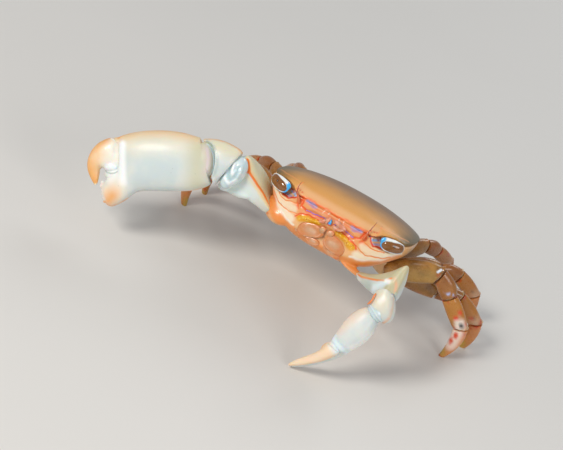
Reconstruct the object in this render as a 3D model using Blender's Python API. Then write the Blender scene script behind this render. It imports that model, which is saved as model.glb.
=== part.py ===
"""A red-fingered coral crab (family Tetraliidae) at life size, standing on its eight walking legs.

The crab faces -Y with its left side at +X, and the floor is z = 0. The body is built in a frame of its own:
x to the crab's left, y to its rear along the carapace, z out of its back, from the middle of the line through
both eyes. That frame is pitched nose up and set above the floor. The right hand is the large one, held out to
the side; the left hand is slim and reaches down in front of the mouth, its tip just above the floor.
All sizes are in millimetres until a mesh is made.
"""
import math

import bmesh
import bpy
from mathutils import Matrix, Vector

MM = 0.001
GAP = 0.25                         # clearance between neighbouring pieces

# Where the middle of the eye line stands over the floor, and how far the nose is pitched up
EYE_LINE_PLACE = Vector((2.4, -2.6, 8.7))
BODY_PITCH = math.radians(18)

# Carapace: a rounded shield, squarer in front than behind
SHIELD_HALF_WIDTH = 6.0
SHIELD_MIDDLE = 2.8                # how far behind the eye line the shield is widest
SHIELD_FRONT = 3.55                # from the widest line forward to the brow
SHIELD_REAR = 7.6                  # from the widest line back to the rear rim
FRONT_SQUARENESS = 3.5
REAR_SQUARENESS = 2.3
SIDE_RIM_RISE = 0.45               # the rim is higher at the sides than at the brow
REAR_RIM_DROP = 0.35
DOME_TOP = 1.25
RIM_THICKNESS = 0.3
SHIELD_SPOKES = 40

# Underside: a bowl below the shield, steep at the face and slanting inwards at the flanks
BOWL_TOP = -RIM_THICKNESS - GAP
BOWL_DEPTH = 2.85
BOWL_INSET = 0.12
FACE_STEEPNESS = 4.2
FLANK_STEEPNESS = 1.75

# Eyes, set in sockets at the front corners
EYE_PLACE = Vector((4.88, -0.12, -0.08))
EYE_RADII = (0.9, 0.46, 0.46)
EYE_RISE = math.radians(15)        # the outer end is the higher one
EYE_SWEEP = math.radians(22)       # and lies further back
SOCKET_CLEARANCE = 0.22

# Hollows of the face, in the body frame: for the small feelers, and for the mouth
FOSSA_PLACE = Vector((1.32, -0.8, -0.86))
FOSSA_RADII = (1.05, 0.5, 0.36)
MOUTH_PLACE = Vector((0, -0.75, -2.2))
MOUTH_RADII = (2.0, 0.55, 0.86)
FLAP_GAP = 0.38                    # clears the facets of the bowl

# Walking legs, front to rear: hip in the body frame, then the azimuth behind straight sideways and the
# elevations of the four segments, in degrees, for the left and for the right side
LEG_HIPS = ((4.6, 3.3, -2.7), (4.75, 4.85, -2.75), (4.6, 6.45, -2.8), (3.9, 7.9, -2.75))
LEG_SCALE = (1.0, 0.95, 0.92, 0.86)
LEFT_LEG_ANGLES = ((14, 20, -47, -48, -98), (22, -8, -36, -80, -138), (38, 5, -46, -78, -132),
                   (60, 14, -44, -54, -98))
RIGHT_LEG_ANGLES = ((15, 10, -26, -40, -92), (27, 9, -34, -46, -100), (40, 14, -36, -48, -98),
                    (58, 18, -40, -52, -98))
LEG_LENGTHS = (4.45, 2.05, 2.85, 3.1)
LEG_SIDES = 12
LEG_STUMP_RADIUS = 0.58
FOOT_SINK = 0.12                   # how far a toe would pass the floor before it is cut flat

# One leg segment: share of its length, half height above and below its axis, half thickness
MERUS_SHAPE = ((0.0, 0.55, 0.55, 0.42), (0.2, 0.82, 0.72, 0.5), (0.55, 1.1, 0.88, 0.55),
               (0.85, 0.98, 0.78, 0.52), (1.0, 0.72, 0.68, 0.46))
CARPUS_SHAPE = ((0.0, 0.6, 0.62, 0.44), (0.5, 0.86, 0.68, 0.5), (1.0, 0.64, 0.64, 0.45))
PROPODUS_SHAPE = ((0.0, 0.6, 0.62, 0.43), (0.45, 0.74, 0.66, 0.46), (1.0, 0.58, 0.58, 0.4))
DACTYLUS_SHAPE = ((0.0, 0.56, 0.56, 0.38), (0.3, 0.6, 0.5, 0.37), (0.65, 0.5, 0.34, 0.3),
                  (0.9, 0.34, 0.2, 0.24), (1.0, 0.22, 0.14, 0.2))
LEG_SHAPES = (MERUS_SHAPE, CARPUS_SHAPE, PROPODUS_SHAPE, DACTYLUS_SHAPE)
LEG_SEGMENTS = ("merus", "carpus", "propodus", "dactylus")

# Inner end of each claw arm's stump, in the body frame
ARM_ROOT = (2.9, 1.5, -2.1)
ARM_STUMP_RADIUS = 0.5

# Claw arms, as places from the floor point below the middle of the eye line. First the long edges of the
# segment nearest the body: crest, lower front, lower rear and upper rear edge, each by three places
RIGHT_MERUS = (((-4.4, -1.0, 6.6), (-5.95, -1.35, 8.2), (-7.75, -1.1, 10.1)),
               ((-4.6, -0.7, 5.9), (-6.75, -1.5, 6.45), (-9.0, -2.3, 7.1)),
               ((-4.9, 0.3, 5.8), (-6.6, 1.4, 6.9), (-8.9, -0.7, 7.2)),
               ((-5.0, 0.5, 6.3), (-6.5, 2.0, 7.7), (-8.2, 0.3, 9.3)))
LEFT_MERUS = (((3.35, -1.35, 5.85), (4.85, -3.0, 7.1), (6.15, -4.25, 8.1)),
              ((3.55, -1.2, 5.3), (4.7, -2.85, 5.85), (5.75, -4.1, 6.4)),
              ((4.1, -0.6, 5.4), (5.9, -2.1, 6.1), (7.8, -3.3, 6.6)),
              ((3.8, -0.9, 6.0), (5.5, -2.2, 7.6), (7.15, -2.7, 10.25)))
# Where those edges end, past the elbow
RIGHT_NECK = ((-8.3, -1.2, 9.9), (-9.3, -2.3, 7.5), (-9.2, -0.9, 7.5), (-8.7, 0.2, 9.2))
LEFT_NECK = ((6.45, -4.75, 7.75), (6.25, -4.6, 6.7), (7.4, -4.25, 6.3), (7.35, -4.35, 7.6))
MERUS_SHARES = (0.0, 0.1, 0.3, 0.5, 0.7, 0.9, 1.0)
# Left wrist segment: upper place, lower place and half thickness of each ring
LEFT_CARPUS = (((6.45, -4.35, 8.0), (7.35, -3.9, 6.5), 0.7), ((6.2, -4.75, 8.0), (7.65, -4.3, 6.05), 0.9),
               ((6.08, -5.05, 7.55), (7.7, -4.8, 5.6), 0.98), ((6.08, -5.3, 7.05), (7.35, -5.15, 5.45), 0.85),
               ((6.05, -5.55, 6.6), (6.8, -5.55, 5.6), 0.6))

# Right wrist segment and both hands, in a flat working plane: top and bottom point (u, v), half thickness, and
# how far the ring is pushed out of the plane
RIGHT_CARPUS = (((-2.7, 0.5), (-0.95, -1.3), 0.85, 0.0), ((-2.4, 0.9), (-0.66, -1.68), 1.08, 0.0),
                ((-1.45, 1.42), (-0.45, -1.88), 1.22, 0.0), ((-0.5, 1.66), (-0.4, -1.8), 1.12, 0.0),
                ((0.4, 1.66), (-0.1, -1.5), 0.88, 0.0))
RIGHT_PALM = (((0.2, 1.5), (-0.5, -1.5), 0.9, 0.0), ((0.6, 1.75), (0.05, -1.9), 1.08, 0.0),
              ((1.4, 2.02), (0.9, -2.2), 1.28, 0.0), ((2.6, 2.25), (2.2, -2.28), 1.4, 0.0),
              ((4.0, 2.32), (3.6, -2.27), 1.42, 0.0), ((5.3, 2.22), (4.9, -2.25), 1.34, 0.0),
              ((6.2, 2.02), (5.4, -2.36), 1.2, 0.0), ((6.72, 1.72), (5.75, -2.55), 1.0, 0.0),
              ((6.8, -0.55), (6.1, -2.85), 0.82, 0.0), ((7.6, -1.25), (6.6, -3.15), 0.66, 0.0),
              ((8.08, -1.9), (7.05, -3.35), 0.5, 0.0), ((8.0, -2.6), (7.35, -3.42), 0.34, 0.0),
              ((7.9, -2.95), (7.6, -3.36), 0.2, 0.0))
RIGHT_FINGER = (((7.0, 1.68), (7.05, -0.3), 0.8, 0.0), ((7.3, 1.78), (7.4, -0.42), 0.86, 0.0),
                ((7.95, 1.6), (7.9, -0.5), 0.84, 0.0), ((8.62, 1.12), (8.12, -0.5), 0.74, 0.0),
                ((9.1, 0.3), (8.2, -0.58), 0.6, 0.0), ((9.18, -0.5), (8.24, -0.85), 0.46, 0.0),
                ((8.98, -1.15), (8.3, -1.25), 0.34, 0.0), ((8.74, -1.62), (8.38, -1.56), 0.22, 0.0),
                ((8.58, -1.84), (8.46, -1.8), 0.12, 0.0))
LEFT_PALM = (((0.1, 0.42), (-0.05, -0.55), 0.5, 0.0), ((0.55, 0.6), (0.15, -0.95), 0.8, 0.0),
             ((1.3, 0.66), (1.0, -1.5), 0.95, 0.0), ((2.1, 0.48), (2.0, -1.66), 0.95, 0.0),
             ((2.9, 0.15), (2.6, -1.68), 0.86, 0.0), ((3.4, -0.08), (2.95, -1.63), 0.72, 0.0),
             ((3.7, -0.72), (3.4, -1.6), 0.34, -0.5), ((4.5, -0.78), (4.4, -1.42), 0.32, -0.48),
             ((5.4, -0.6), (5.4, -1.18), 0.27, -0.42), ((6.3, -0.3), (6.3, -0.85), 0.22, -0.34),
             ((7.0, -0.12), (7.05, -0.48), 0.16, -0.26), ((7.4, -0.12), (7.42, -0.28), 0.1, -0.2))
LEFT_FINGER = (((3.98, -0.3), (3.7, -1.38), 0.4, 0.44), ((4.4, -0.4), (4.35, -1.36), 0.43, 0.4),
               ((5.2, -0.38), (5.25, -1.16), 0.37, 0.34), ((6.2, -0.15), (6.3, -0.76), 0.28, 0.26),
               ((7.0, 0.0), (7.1, -0.36), 0.19, 0.18), ((7.45, 0.02), (7.5, -0.16), 0.1, 0.12))

# Finishes: base colour and roughness
FINISHES = {
    "shell_carapace": ((0.80, 0.56, 0.30), 0.32),
    "shell_underside": ((0.85, 0.72, 0.52), 0.38),
    "claw_cream": ((0.86, 0.86, 0.78), 0.28),
    "finger_orange": ((0.93, 0.62, 0.33), 0.3),
    "leg_amber": ((0.62, 0.34, 0.16), 0.35),
    "eye_brown": ((0.23, 0.10, 0.05), 0.12),
    "eyestalk_blue": ((0.25, 0.62, 0.90), 0.3),
    "feeler_red": ((0.66, 0.27, 0.16), 0.4),
    "mouthpart_pink": ((0.80, 0.52, 0.40), 0.35),
}


def clear_scene():
    for item in list(bpy.data.objects):
        bpy.data.objects.remove(item, do_unlink=True)


def finish_material(slot):
    """One Principled material per finish, made the first time it is asked for."""
    found = bpy.data.materials.get(slot)
    if found:
        return found
    colour, roughness = FINISHES[slot]
    made = bpy.data.materials.new(slot)
    made.use_nodes = True
    shader = made.node_tree.nodes["Principled BSDF"]
    shader.inputs["Base Color"].default_value = (*colour, 1.0)
    shader.inputs["Roughness"].default_value = roughness
    shader.inputs["Metallic"].default_value = 0.0
    return made


def body_place(point):
    """A point of the body frame, in the frame of the whole crab."""
    return EYE_LINE_PLACE + Matrix.Rotation(-BODY_PITCH, 3, "X") @ Vector(point)


def signed_power(value, power):
    return math.copysign(abs(value) ** power, value)


class Sheet:
    """A flat working plane: u along a limb, v up its height, w out of its broad face."""

    def __init__(self, origin, along, up):
        self.origin = Vector(origin)
        self.u = Vector(along).normalized()
        self.v = (Vector(up) - Vector(up).dot(self.u) * self.u).normalized()
        self.w = self.v.cross(self.u)

    def at(self, u, v, w=0.0):
        return self.origin + u * self.u + v * self.v + w * self.w


def oval_ring(top, bottom, normal, half_thickness, sides=16, squareness=2.3):
    """A closed ring through a top and a bottom point, swollen to both sides along a normal."""
    middle = (top + bottom) / 2
    reach = (top - bottom) / 2
    power = 2 / squareness
    ring = []
    for step in range(sides):
        angle = math.tau * step / sides
        ring.append(middle + reach * signed_power(math.cos(angle), power)
                    + normal * half_thickness * signed_power(math.sin(angle), power))
    return ring


def cornered_ring(corners, rounding=0.34, steps=4):
    """A closed ring with rounded corners through the given corner points."""
    ring = []
    for index, corner in enumerate(corners):
        before = corner.lerp(corners[index - 1], rounding)
        after = corner.lerp(corners[(index + 1) % len(corners)], rounding)
        for step in range(steps):
            share = step / (steps - 1)
            ring.append(before.lerp(corner, share).lerp(corner.lerp(after, share), share))
    return ring


def loft(rings):
    """A closed mesh through rings of equal count, with both ends capped."""
    mesh = bmesh.new()
    loops = [[mesh.verts.new(point) for point in ring] for ring in rings]
    count = len(rings[0])
    for near, far in zip(loops, loops[1:]):
        for step in range(count):
            after = (step + 1) % count
            mesh.faces.new((near[step], near[after], far[after], far[step]))
    mesh.faces.new(reversed(loops[0]))
    mesh.faces.new(loops[-1])
    bmesh.ops.recalc_face_normals(mesh, faces=mesh.faces)
    return mesh


def trim(mesh, point, outward):
    """Cuts away what lies past a plane and closes the cut with a flat face."""
    everything = mesh.verts[:] + mesh.edges[:] + mesh.faces[:]
    cut = bmesh.ops.bisect_plane(mesh, geom=everything, dist=1e-5, plane_co=point, plane_no=outward,
                                 clear_outer=True)
    edges = [item for item in cut["geom_cut"] if isinstance(item, bmesh.types.BMEdge)]
    if edges:
        bmesh.ops.contextual_create(mesh, geom=edges)
    bmesh.ops.recalc_face_normals(mesh, faces=mesh.faces)


def add_piece(name, slot, mesh):
    """Turns a millimetre mesh into one named object in metres."""
    bmesh.ops.scale(mesh, vec=(MM, MM, MM), verts=mesh.verts)
    data = bpy.data.meshes.new(name)
    mesh.to_mesh(data)
    mesh.free()
    data.shade_smooth()
    data.set_sharp_from_angle(angle=math.radians(50))
    data.materials.append(finish_material(slot))
    piece = bpy.data.objects.new(name, data)
    bpy.context.scene.collection.objects.link(piece)
    return piece


def apply_boolean(piece, others, operation):
    """Adds or cuts helper solids and removes them again."""
    group = bpy.data.collections.new(piece.name + "_helpers")
    bpy.context.scene.collection.children.link(group)
    for other in others:
        for owner in list(other.users_collection):
            owner.objects.unlink(other)
        group.objects.link(other)
    modifier = piece.modifiers.new(operation.lower(), "BOOLEAN")
    modifier.operation = operation
    modifier.operand_type = "COLLECTION"
    modifier.collection = group
    modifier.solver = "EXACT"
    view = bpy.context.evaluated_depsgraph_get()
    result = bpy.data.meshes.new_from_object(piece.evaluated_get(view))
    piece.modifiers.clear()
    old = piece.data
    piece.data = result
    bpy.data.meshes.remove(old)
    for other in others:
        bpy.data.objects.remove(other, do_unlink=True)
    bpy.data.collections.remove(group)


# Body

def shield_edge(angle, share=1.0, inset=0.0):
    """Place on the shield's plan: angle 0 at the left side, 90 degrees at the brow."""
    forward = math.sin(angle) > 0
    squareness = FRONT_SQUARENESS if forward else REAR_SQUARENESS
    length = SHIELD_FRONT if forward else SHIELD_REAR
    power = 2 / squareness
    x = (SHIELD_HALF_WIDTH - inset) * signed_power(math.cos(angle), power)
    y = (length - inset) * signed_power(math.sin(angle), power)
    return share * x, SHIELD_MIDDLE - share * y


def rim_height(angle):
    """The rim rises at the sides and drops towards the tail."""
    rise = SIDE_RIM_RISE * math.cos(angle) ** 2
    drop = REAR_RIM_DROP * max(0.0, -math.sin(angle)) ** 2
    return rise - drop


def spoke_angles():
    return [math.tau * step / SHIELD_SPOKES for step in range(SHIELD_SPOKES)]


def shell_of_loops(loops, top, bottom):
    """A closed mesh from stacked loops with one pole at each end."""
    mesh = bmesh.new()
    rings = [[mesh.verts.new(body_place(point)) for point in loop] for loop in loops]
    first = mesh.verts.new(body_place(top))
    last = mesh.verts.new(body_place(bottom))
    count = len(rings[0])
    for step in range(count):
        after = (step + 1) % count
        mesh.faces.new((first, rings[0][after], rings[0][step]))
        mesh.faces.new((last, rings[-1][step], rings[-1][after]))
        for near, far in zip(rings, rings[1:]):
            mesh.faces.new((near[step], near[after], far[after], far[step]))
    bmesh.ops.recalc_face_normals(mesh, faces=mesh.faces)
    return mesh


def dome_loop(share):
    """One loop of the dome, between its top (0) and its rim (1)."""
    loop = []
    swell = (1 - share ** 2.6) ** 0.8
    for angle in spoke_angles():
        x, y = shield_edge(angle, share)
        rim = rim_height(angle)
        loop.append((x, y, rim * share + (DOME_TOP - rim * share) * swell))
    return loop


def build_carapace():
    loops = [dome_loop(share) for share in (0.3, 0.55, 0.74, 0.87, 0.95, 1.0)]
    for share, drop in ((0.985, 0.6), (0.93, 1.0), (0.5, 1.0)):
        loop = []
        for angle in spoke_angles():
            x, y = shield_edge(angle, share)
            loop.append((x, y, rim_height(angle) * share - drop * RIM_THICKNESS))
        loops.append(loop)
    middle = (0, SHIELD_MIDDLE)
    mesh = shell_of_loops(loops, (*middle, DOME_TOP), (*middle, -RIM_THICKNESS))
    carapace = add_piece("carapace", "shell_carapace", mesh)
    apply_boolean(carapace, [socket_cutter(side) for side in (1, -1)], "DIFFERENCE")
    return carapace


def bowl_point(angle, drop_angle, outward=0.0):
    """A point of the bowl: drop angle 0 at its rim, 90 degrees at its lowest point."""
    front = max(0.0, math.sin(angle)) ** 3
    steepness = FLANK_STEEPNESS + (FACE_STEEPNESS - FLANK_STEEPNESS) * front
    share = math.cos(drop_angle) ** (2 / steepness)
    depth = (BOWL_DEPTH + outward) * math.sin(drop_angle) ** (2 / steepness)
    x, y = shield_edge(angle, share, BOWL_INSET - outward)
    return x, y, BOWL_TOP + rim_height(angle) * share - depth


def build_underside():
    flat = []
    for share in (0.5, 0.94):
        loop = []
        for angle in spoke_angles():
            x, y = shield_edge(angle, share, BOWL_INSET)
            loop.append((x, y, BOWL_TOP + rim_height(angle) * share))
        flat.append(loop)
    drops = [math.radians(value) for value in (3, 12, 24, 36, 48, 60, 72, 82)]
    sides = [[bowl_point(angle, drop) for angle in spoke_angles()] for drop in drops]
    middle = (0, SHIELD_MIDDLE)
    mesh = shell_of_loops(flat + sides, (*middle, BOWL_TOP), (*middle, BOWL_TOP - BOWL_DEPTH))
    underside = add_piece("underside", "shell_underside", mesh)
    cutters = [socket_cutter(side) for side in (1, -1)]
    cutters += [fossa_cutter(side) for side in (1, -1)]
    cutters.append(mouth_cutter())
    cutters += [arm_hollow_cutter(side) for side in (1, -1)]
    apply_boolean(underside, cutters, "DIFFERENCE")
    apply_boolean(underside, hip_stubs(), "UNION")
    return underside


def rounded_solid(centre, axes, radii, squareness, spokes=20, loops=9):
    """An egg or a rounded brick: axes are three unit directions in the body frame."""
    power = 2 / squareness
    rows = []
    for row in range(1, loops):
        rise = math.pi * row / loops
        ring = []
        for step in range(spokes):
            turn = math.tau * step / spokes
            a = signed_power(math.cos(rise), power) * radii[0]
            b = abs(math.sin(rise)) ** power * signed_power(math.cos(turn), power) * radii[1]
            c = abs(math.sin(rise)) ** power * signed_power(math.sin(turn), power) * radii[2]
            ring.append(centre + a * axes[0] + b * axes[1] + c * axes[2])
        rows.append(ring)
    ends = (centre + radii[0] * axes[0], centre - radii[0] * axes[0])
    return shell_of_loops(rows, ends[0], ends[1])


def cutter(name, mesh):
    piece = add_piece(name, "shell_underside", mesh)
    piece.hide_render = True
    piece.display_type = "WIRE"
    return piece


def eye_axes(side):
    outward = Vector((side * math.cos(EYE_SWEEP) * math.cos(EYE_RISE), math.sin(EYE_SWEEP), math.sin(EYE_RISE)))
    outward.normalize()
    ahead = outward.cross(Vector((0, 0, 1))).normalized()
    return outward, ahead, outward.cross(ahead)


def mirrored(point, side):
    return Vector((side * point[0], point[1], point[2]))


def socket_cutter(side):
    """The orbit holds the eye and its stalk, and runs inwards to the feeler."""
    axes = eye_axes(side)
    centre = mirrored(EYE_PLACE, side) - axes[0] * 0.42
    radii = (EYE_RADII[0] + 0.42 + SOCKET_CLEARANCE, EYE_RADII[1] + SOCKET_CLEARANCE,
             EYE_RADII[2] + SOCKET_CLEARANCE)
    return cutter("socket", rounded_solid(centre, axes, radii, 2.6))


WORLD_AXES = (Vector((1, 0, 0)), Vector((0, 1, 0)), Vector((0, 0, 1)))


def fossa_cutter(side):
    """The hollow under the brow in which the small feeler lies folded."""
    return cutter("fossa", rounded_solid(mirrored(FOSSA_PLACE, side), WORLD_AXES, FOSSA_RADII, 2.6))


def mouth_cutter():
    """The mouth frame, closed by the two mouth plates."""
    return cutter("mouth", rounded_solid(MOUTH_PLACE, WORLD_AXES, MOUTH_RADII, 4.0, spokes=24))


def hip_stubs():
    """Short stumps that carry the legs and the claw arms."""
    stumps = []
    for side in (1, -1):
        base, direction = arm_base(side)
        root = body_place(mirrored(ARM_ROOT, side))
        stumps.append(stump(root, base, direction, ARM_STUMP_RADIUS))
        for number in range(4):
            joints = leg_joints(side, number)[1]
            root = joints[0] + Vector((-side * 2.2, 0.3, 0.75))
            direction = (joints[1] - joints[0]).normalized()
            stumps.append(stump(root, joints[0], direction, LEG_STUMP_RADIUS * LEG_SCALE[number]))
    return stumps


def stump(root, hip, direction, radius, sides=12):
    """A stump from inside the body to a flat end that faces its limb."""
    outward = (hip - root).normalized()
    end = hip - direction * (GAP / 2)
    rings = []
    for share, size in ((0.0, 1.3), (0.65, 1.15), (1.0, 0.92)):
        along = outward.lerp(direction, share).normalized()
        across = along.cross(Vector((0, 0, 1))).normalized()
        up = across.cross(along) * radius * size
        centre = root.lerp(end, share)
        rings.append(oval_ring(centre + up, centre - up, across, radius * size * 0.88, sides, 2.0))
    return add_piece("stump", "shell_underside", loft(rings))


# Eyes, feelers and mouth

def build_eyes():
    for side, word in ((1, "left"), (-1, "right")):
        axes = eye_axes(side)
        centre = mirrored(EYE_PLACE, side)
        add_piece("eye_" + word, "eye_brown",
                  rounded_solid(centre, axes, EYE_RADII, 2.4, spokes=16, loops=12))
        inner = centre - axes[0] * (EYE_RADII[0] + 0.2)
        rings = []
        for reach, radius in ((0.0, 0.3), (0.12, 0.36), (0.4, 0.34), (0.52, 0.26)):
            middle = inner - axes[0] * reach
            up = axes[2] * radius
            rings.append([body_place(point) for point in
                          oval_ring(middle + up, middle - up, axes[1], radius, 12, 2.2)])
        add_piece("eyestalk_" + word, "eyestalk_blue", loft(rings))


def feeler(path, radii, sides=10):
    """A tapering feeler through points of the body frame."""
    rings = []
    places = [body_place(point) for point in path]
    for index, (place, radius) in enumerate(zip(places, radii)):
        near = places[max(index - 1, 0)]
        far = places[min(index + 1, len(places) - 1)]
        along = (far - near).normalized()
        across = along.cross(Vector((0.0, 1.0, 0.1))).normalized()
        depth = across.cross(along)
        rings.append(oval_ring(place + across * radius, place - across * radius, depth, radius, sides, 2.0))
    return loft(rings)


def build_feelers():
    for side, word in ((1, "left"), (-1, "right")):
        small = [mirrored(point, side) for point in
                 ((0.42, -0.8, -0.92), (0.8, -0.92, -0.86), (1.5, -0.92, -0.84), (2.1, -0.78, -0.86))]
        add_piece("antennule_" + word, "feeler_red", feeler(small, (0.16, 0.26, 0.24, 0.14)))
        long_path = [mirrored(point, side) for point in
                     ((2.95, -0.98, -0.95), (2.95, -1.16, -0.6), (2.92, -1.28, -0.1), (2.95, -1.3, 0.5),
                      (3.05, -1.22, 1.15))]
        add_piece("antenna_" + word, "feeler_red", feeler(long_path, (0.28, 0.27, 0.25, 0.16, 0.07)))


def build_mouth():
    for side, word in ((1, "left"), (-1, "right")):
        rings = []
        for depth, size in ((-0.5, 0.8), (-0.62, 0.97), (-0.82, 1.0), (-0.94, 0.84)):
            corners = [Vector((side * x, depth, z)) for x, z in
                       ((0.14, -1.62), (1.35, -1.6), (1.78, -2.1), (1.3, -2.78), (0.14, -2.86))]
            middle = sum(corners, Vector()) / len(corners)
            rings.append([body_place(point) for point in
                          cornered_ring([middle.lerp(corner, size) for corner in corners], 0.3, 3)])
        add_piece("maxilliped_" + word, "mouthpart_pink", loft(rings))


def build_abdomen():
    """The tail flap, folded forward under the rear half of the body."""
    inner = []
    outer = []
    rows = ((9.9, 1.5), (9.2, 1.75), (8.2, 1.9), (7.2, 1.85), (6.2, 1.6), (5.4, 1.15), (4.9, 0.6))
    for y, half_width in rows:
        lower = []
        upper = []
        for share in (-1.0, -0.6, 0.0, 0.6, 1.0):
            x = share * half_width
            lower.append(body_place((x, y, sternum_height(x, y) - FLAP_GAP - 0.55 * (1 - 0.5 * share * share))))
            upper.append(body_place((x, y, sternum_height(x, y) - FLAP_GAP)))
        outer.append(lower)
        inner.append(upper)
    rings = [lower + upper[::-1] for lower, upper in zip(outer, inner)]
    add_piece("abdomen", "shell_underside", loft(rings))


def sternum_height(x, y):
    """Height of the bowl's surface below the rear half of the shield."""
    length = SHIELD_REAR - BOWL_INSET
    share = (abs(x / (SHIELD_HALF_WIDTH - BOWL_INSET)) ** REAR_SQUARENESS
             + abs((y - SHIELD_MIDDLE) / length) ** REAR_SQUARENESS) ** (1 / REAR_SQUARENESS)
    share = min(share, 0.999)
    depth = BOWL_DEPTH * (1 - share ** FLANK_STEEPNESS) ** (1 / FLANK_STEEPNESS)
    return BOWL_TOP - REAR_RIM_DROP * share - depth


# Walking legs

def leg_joints(side, number):
    """The upright plane of a leg and its five joints, the last at the toe just below the floor."""
    angles = (LEFT_LEG_ANGLES if side > 0 else RIGHT_LEG_ANGLES)[number]
    azimuth = math.radians(angles[0])
    hip = body_place(mirrored(LEG_HIPS[number], side))
    outward = Vector((side * math.cos(azimuth), math.sin(azimuth), 0))
    sheet = Sheet(hip, outward, (0, 0, 1))
    lengths = [length * LEG_SCALE[number] for length in LEG_LENGTHS]
    lowest, highest = -40.0, 40.0
    for _ in range(40):
        extra = (lowest + highest) / 2
        joints = chain(sheet, lengths, angles[1:], extra)
        if joints[-1].z > -FOOT_SINK:
            highest = extra
        else:
            lowest = extra
    return sheet, joints


def chain(sheet, lengths, elevations, extra):
    """Joint places of a leg whose three outer segments are tilted by an extra angle."""
    u = v = 0.0
    joints = [sheet.at(u, v)]
    for index, (length, elevation) in enumerate(zip(lengths, elevations)):
        tilt = math.radians(elevation + (extra if index else 0.0))
        u += length * math.cos(tilt)
        v += length * math.sin(tilt)
        joints.append(sheet.at(u, v))
    return joints


def build_leg(side, word, number):
    sheet, joints = leg_joints(side, number)
    scale = LEG_SCALE[number]
    directions = [(far - near).normalized() for near, far in zip(joints, joints[1:])]
    for index, segment in enumerate(LEG_SEGMENTS):
        along = directions[index]
        near, far = joints[index], joints[index + 1]
        up = (sheet.v - sheet.v.dot(along) * along).normalized() if abs(along.z) < 0.98 else sheet.u
        if up.dot(sheet.u * -along.z + sheet.v * along.dot(sheet.u)) < 0:
            up = -up
        length = (far - near).length
        rings = []
        shape = LEG_SHAPES[index]
        reach = 0.6 if index < 3 else 0.0
        stations = [(-0.6 / length, *shape[0][1:])] + list(shape)
        if reach:
            stations.append((1 + reach / length, *shape[-1][1:]))
        for share, above, below, thickness in stations:
            centre = near + along * length * share
            if index == 3:
                bend = 0.22 * math.sin(math.pi * min(max(share, 0), 1))
                centre = centre + up * bend
            rings.append(oval_ring(centre + up * above * scale, centre - up * below * scale, sheet.w,
                                   thickness * scale, LEG_SIDES, 2.3))
        mesh = loft(rings)
        before = directions[index - 1] if index else along
        after = directions[index + 1] if index < 3 else along
        mitre = (before + along).normalized()
        trim(mesh, near + mitre * (GAP / 2), -mitre)
        if index < 3:
            mitre = (along + after).normalized()
            trim(mesh, far - mitre * (GAP / 2), mitre)
        else:
            trim(mesh, Vector((0, 0, 0)), Vector((0, 0, -1)))
        add_piece("leg_%s_%d_%s" % (word, number + 1, segment), "leg_amber", mesh)


def build_legs():
    for side, word in ((1, "left"), (-1, "right")):
        for number in range(4):
            build_leg(side, word, number)


# Claw arms

def from_eyes(x, y, z):
    """A place given from the floor point below the middle of the eye line."""
    return Vector((x + EYE_LINE_PLACE.x, y + EYE_LINE_PLACE.y, z))


def corner_rings(edges, shares, end_size=0.84):
    """Rings of an arm segment whose long edges each pass through a near, a middle and a far place."""
    rings = []
    for share in shares:
        corners = []
        for near, middle, far in edges:
            control = 2 * middle - (near + far) / 2
            corners.append(near.lerp(control, share).lerp(control.lerp(far, share), share))
        centre = sum(corners, Vector()) / len(corners)
        size = end_size if share in (shares[0], shares[-1]) else 1.0
        rings.append(cornered_ring([centre + (corner - centre) * size for corner in corners]))
    return rings


def middle_of(places):
    return sum(places, Vector()) / len(places)


def arm_edges(side, swell=0.0):
    """The long edges of one merus, all moved away from its middle line by a swell."""
    edges = [[from_eyes(*place) for place in edge] for edge in (LEFT_MERUS if side > 0 else RIGHT_MERUS)]
    middles = [middle_of(places) for places in zip(*edges)]
    return [tuple(place + (place - middle).normalized() * swell for place, middle in zip(edge, middles))
            for edge in edges]


def arm_base(side):
    """Where an arm leaves its stump, and the direction in which it leaves."""
    near, _, far = (middle_of(places) for places in zip(*arm_edges(side)))
    return near, (far - near).normalized()


def arm_hollow_cutter(side):
    """Leaves room around the inner end of an arm."""
    return cutter("arm_hollow", loft(corner_rings(arm_edges(side, GAP * 1.4), (0.0, 0.2, 0.4, 0.6), 1.0)))


RIGHT_SHEET = Sheet(from_eyes(-10.22, -2.2, 8.39), (-0.868, -0.300, -0.396), (-0.488, 0.364, 0.794))
LEFT_SHEET = Sheet(from_eyes(6.44, -5.5, 6.2), (-0.479, -0.353, -0.803), (-0.56, 0.2, 0.25))

def hand_rings(sheet, stations, sides=16):
    rings = []
    for top, bottom, thickness, push in stations:
        rings.append(oval_ring(sheet.at(*top, push), sheet.at(*bottom, push), sheet.w, thickness, sides))
    return rings


# Planes where two arm pieces face each other: a point on the plane and the direction towards the hand
RIGHT_ELBOW = (RIGHT_SHEET.at(-1.78, -0.58), RIGHT_SHEET.u * 0.746 + RIGHT_SHEET.v * 0.667)
RIGHT_WRIST = (RIGHT_SHEET.at(0.06, 0.0), RIGHT_SHEET.u * 0.976 - RIGHT_SHEET.v * 0.219)
LEFT_ELBOW = (from_eyes(6.75, -4.25, 7.1), Vector((0.15, -0.85, -0.5)).normalized())
LEFT_WRIST = (LEFT_SHEET.at(0.05, 0.0), LEFT_SHEET.u)


def end_at(mesh, plane):
    trim(mesh, plane[0] - plane[1] * (GAP / 2), plane[1])


def start_at(mesh, plane):
    trim(mesh, plane[0] + plane[1] * (GAP / 2), -plane[1])


def build_merus(side, word, neck, elbow):
    rings = corner_rings(arm_edges(side), MERUS_SHARES)
    rings.append(cornered_ring([from_eyes(*place) for place in neck]))
    mesh = loft(rings)
    start_at(mesh, arm_base(side))
    end_at(mesh, elbow)
    add_piece("claw_%s_merus" % word, "claw_cream", mesh)


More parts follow.
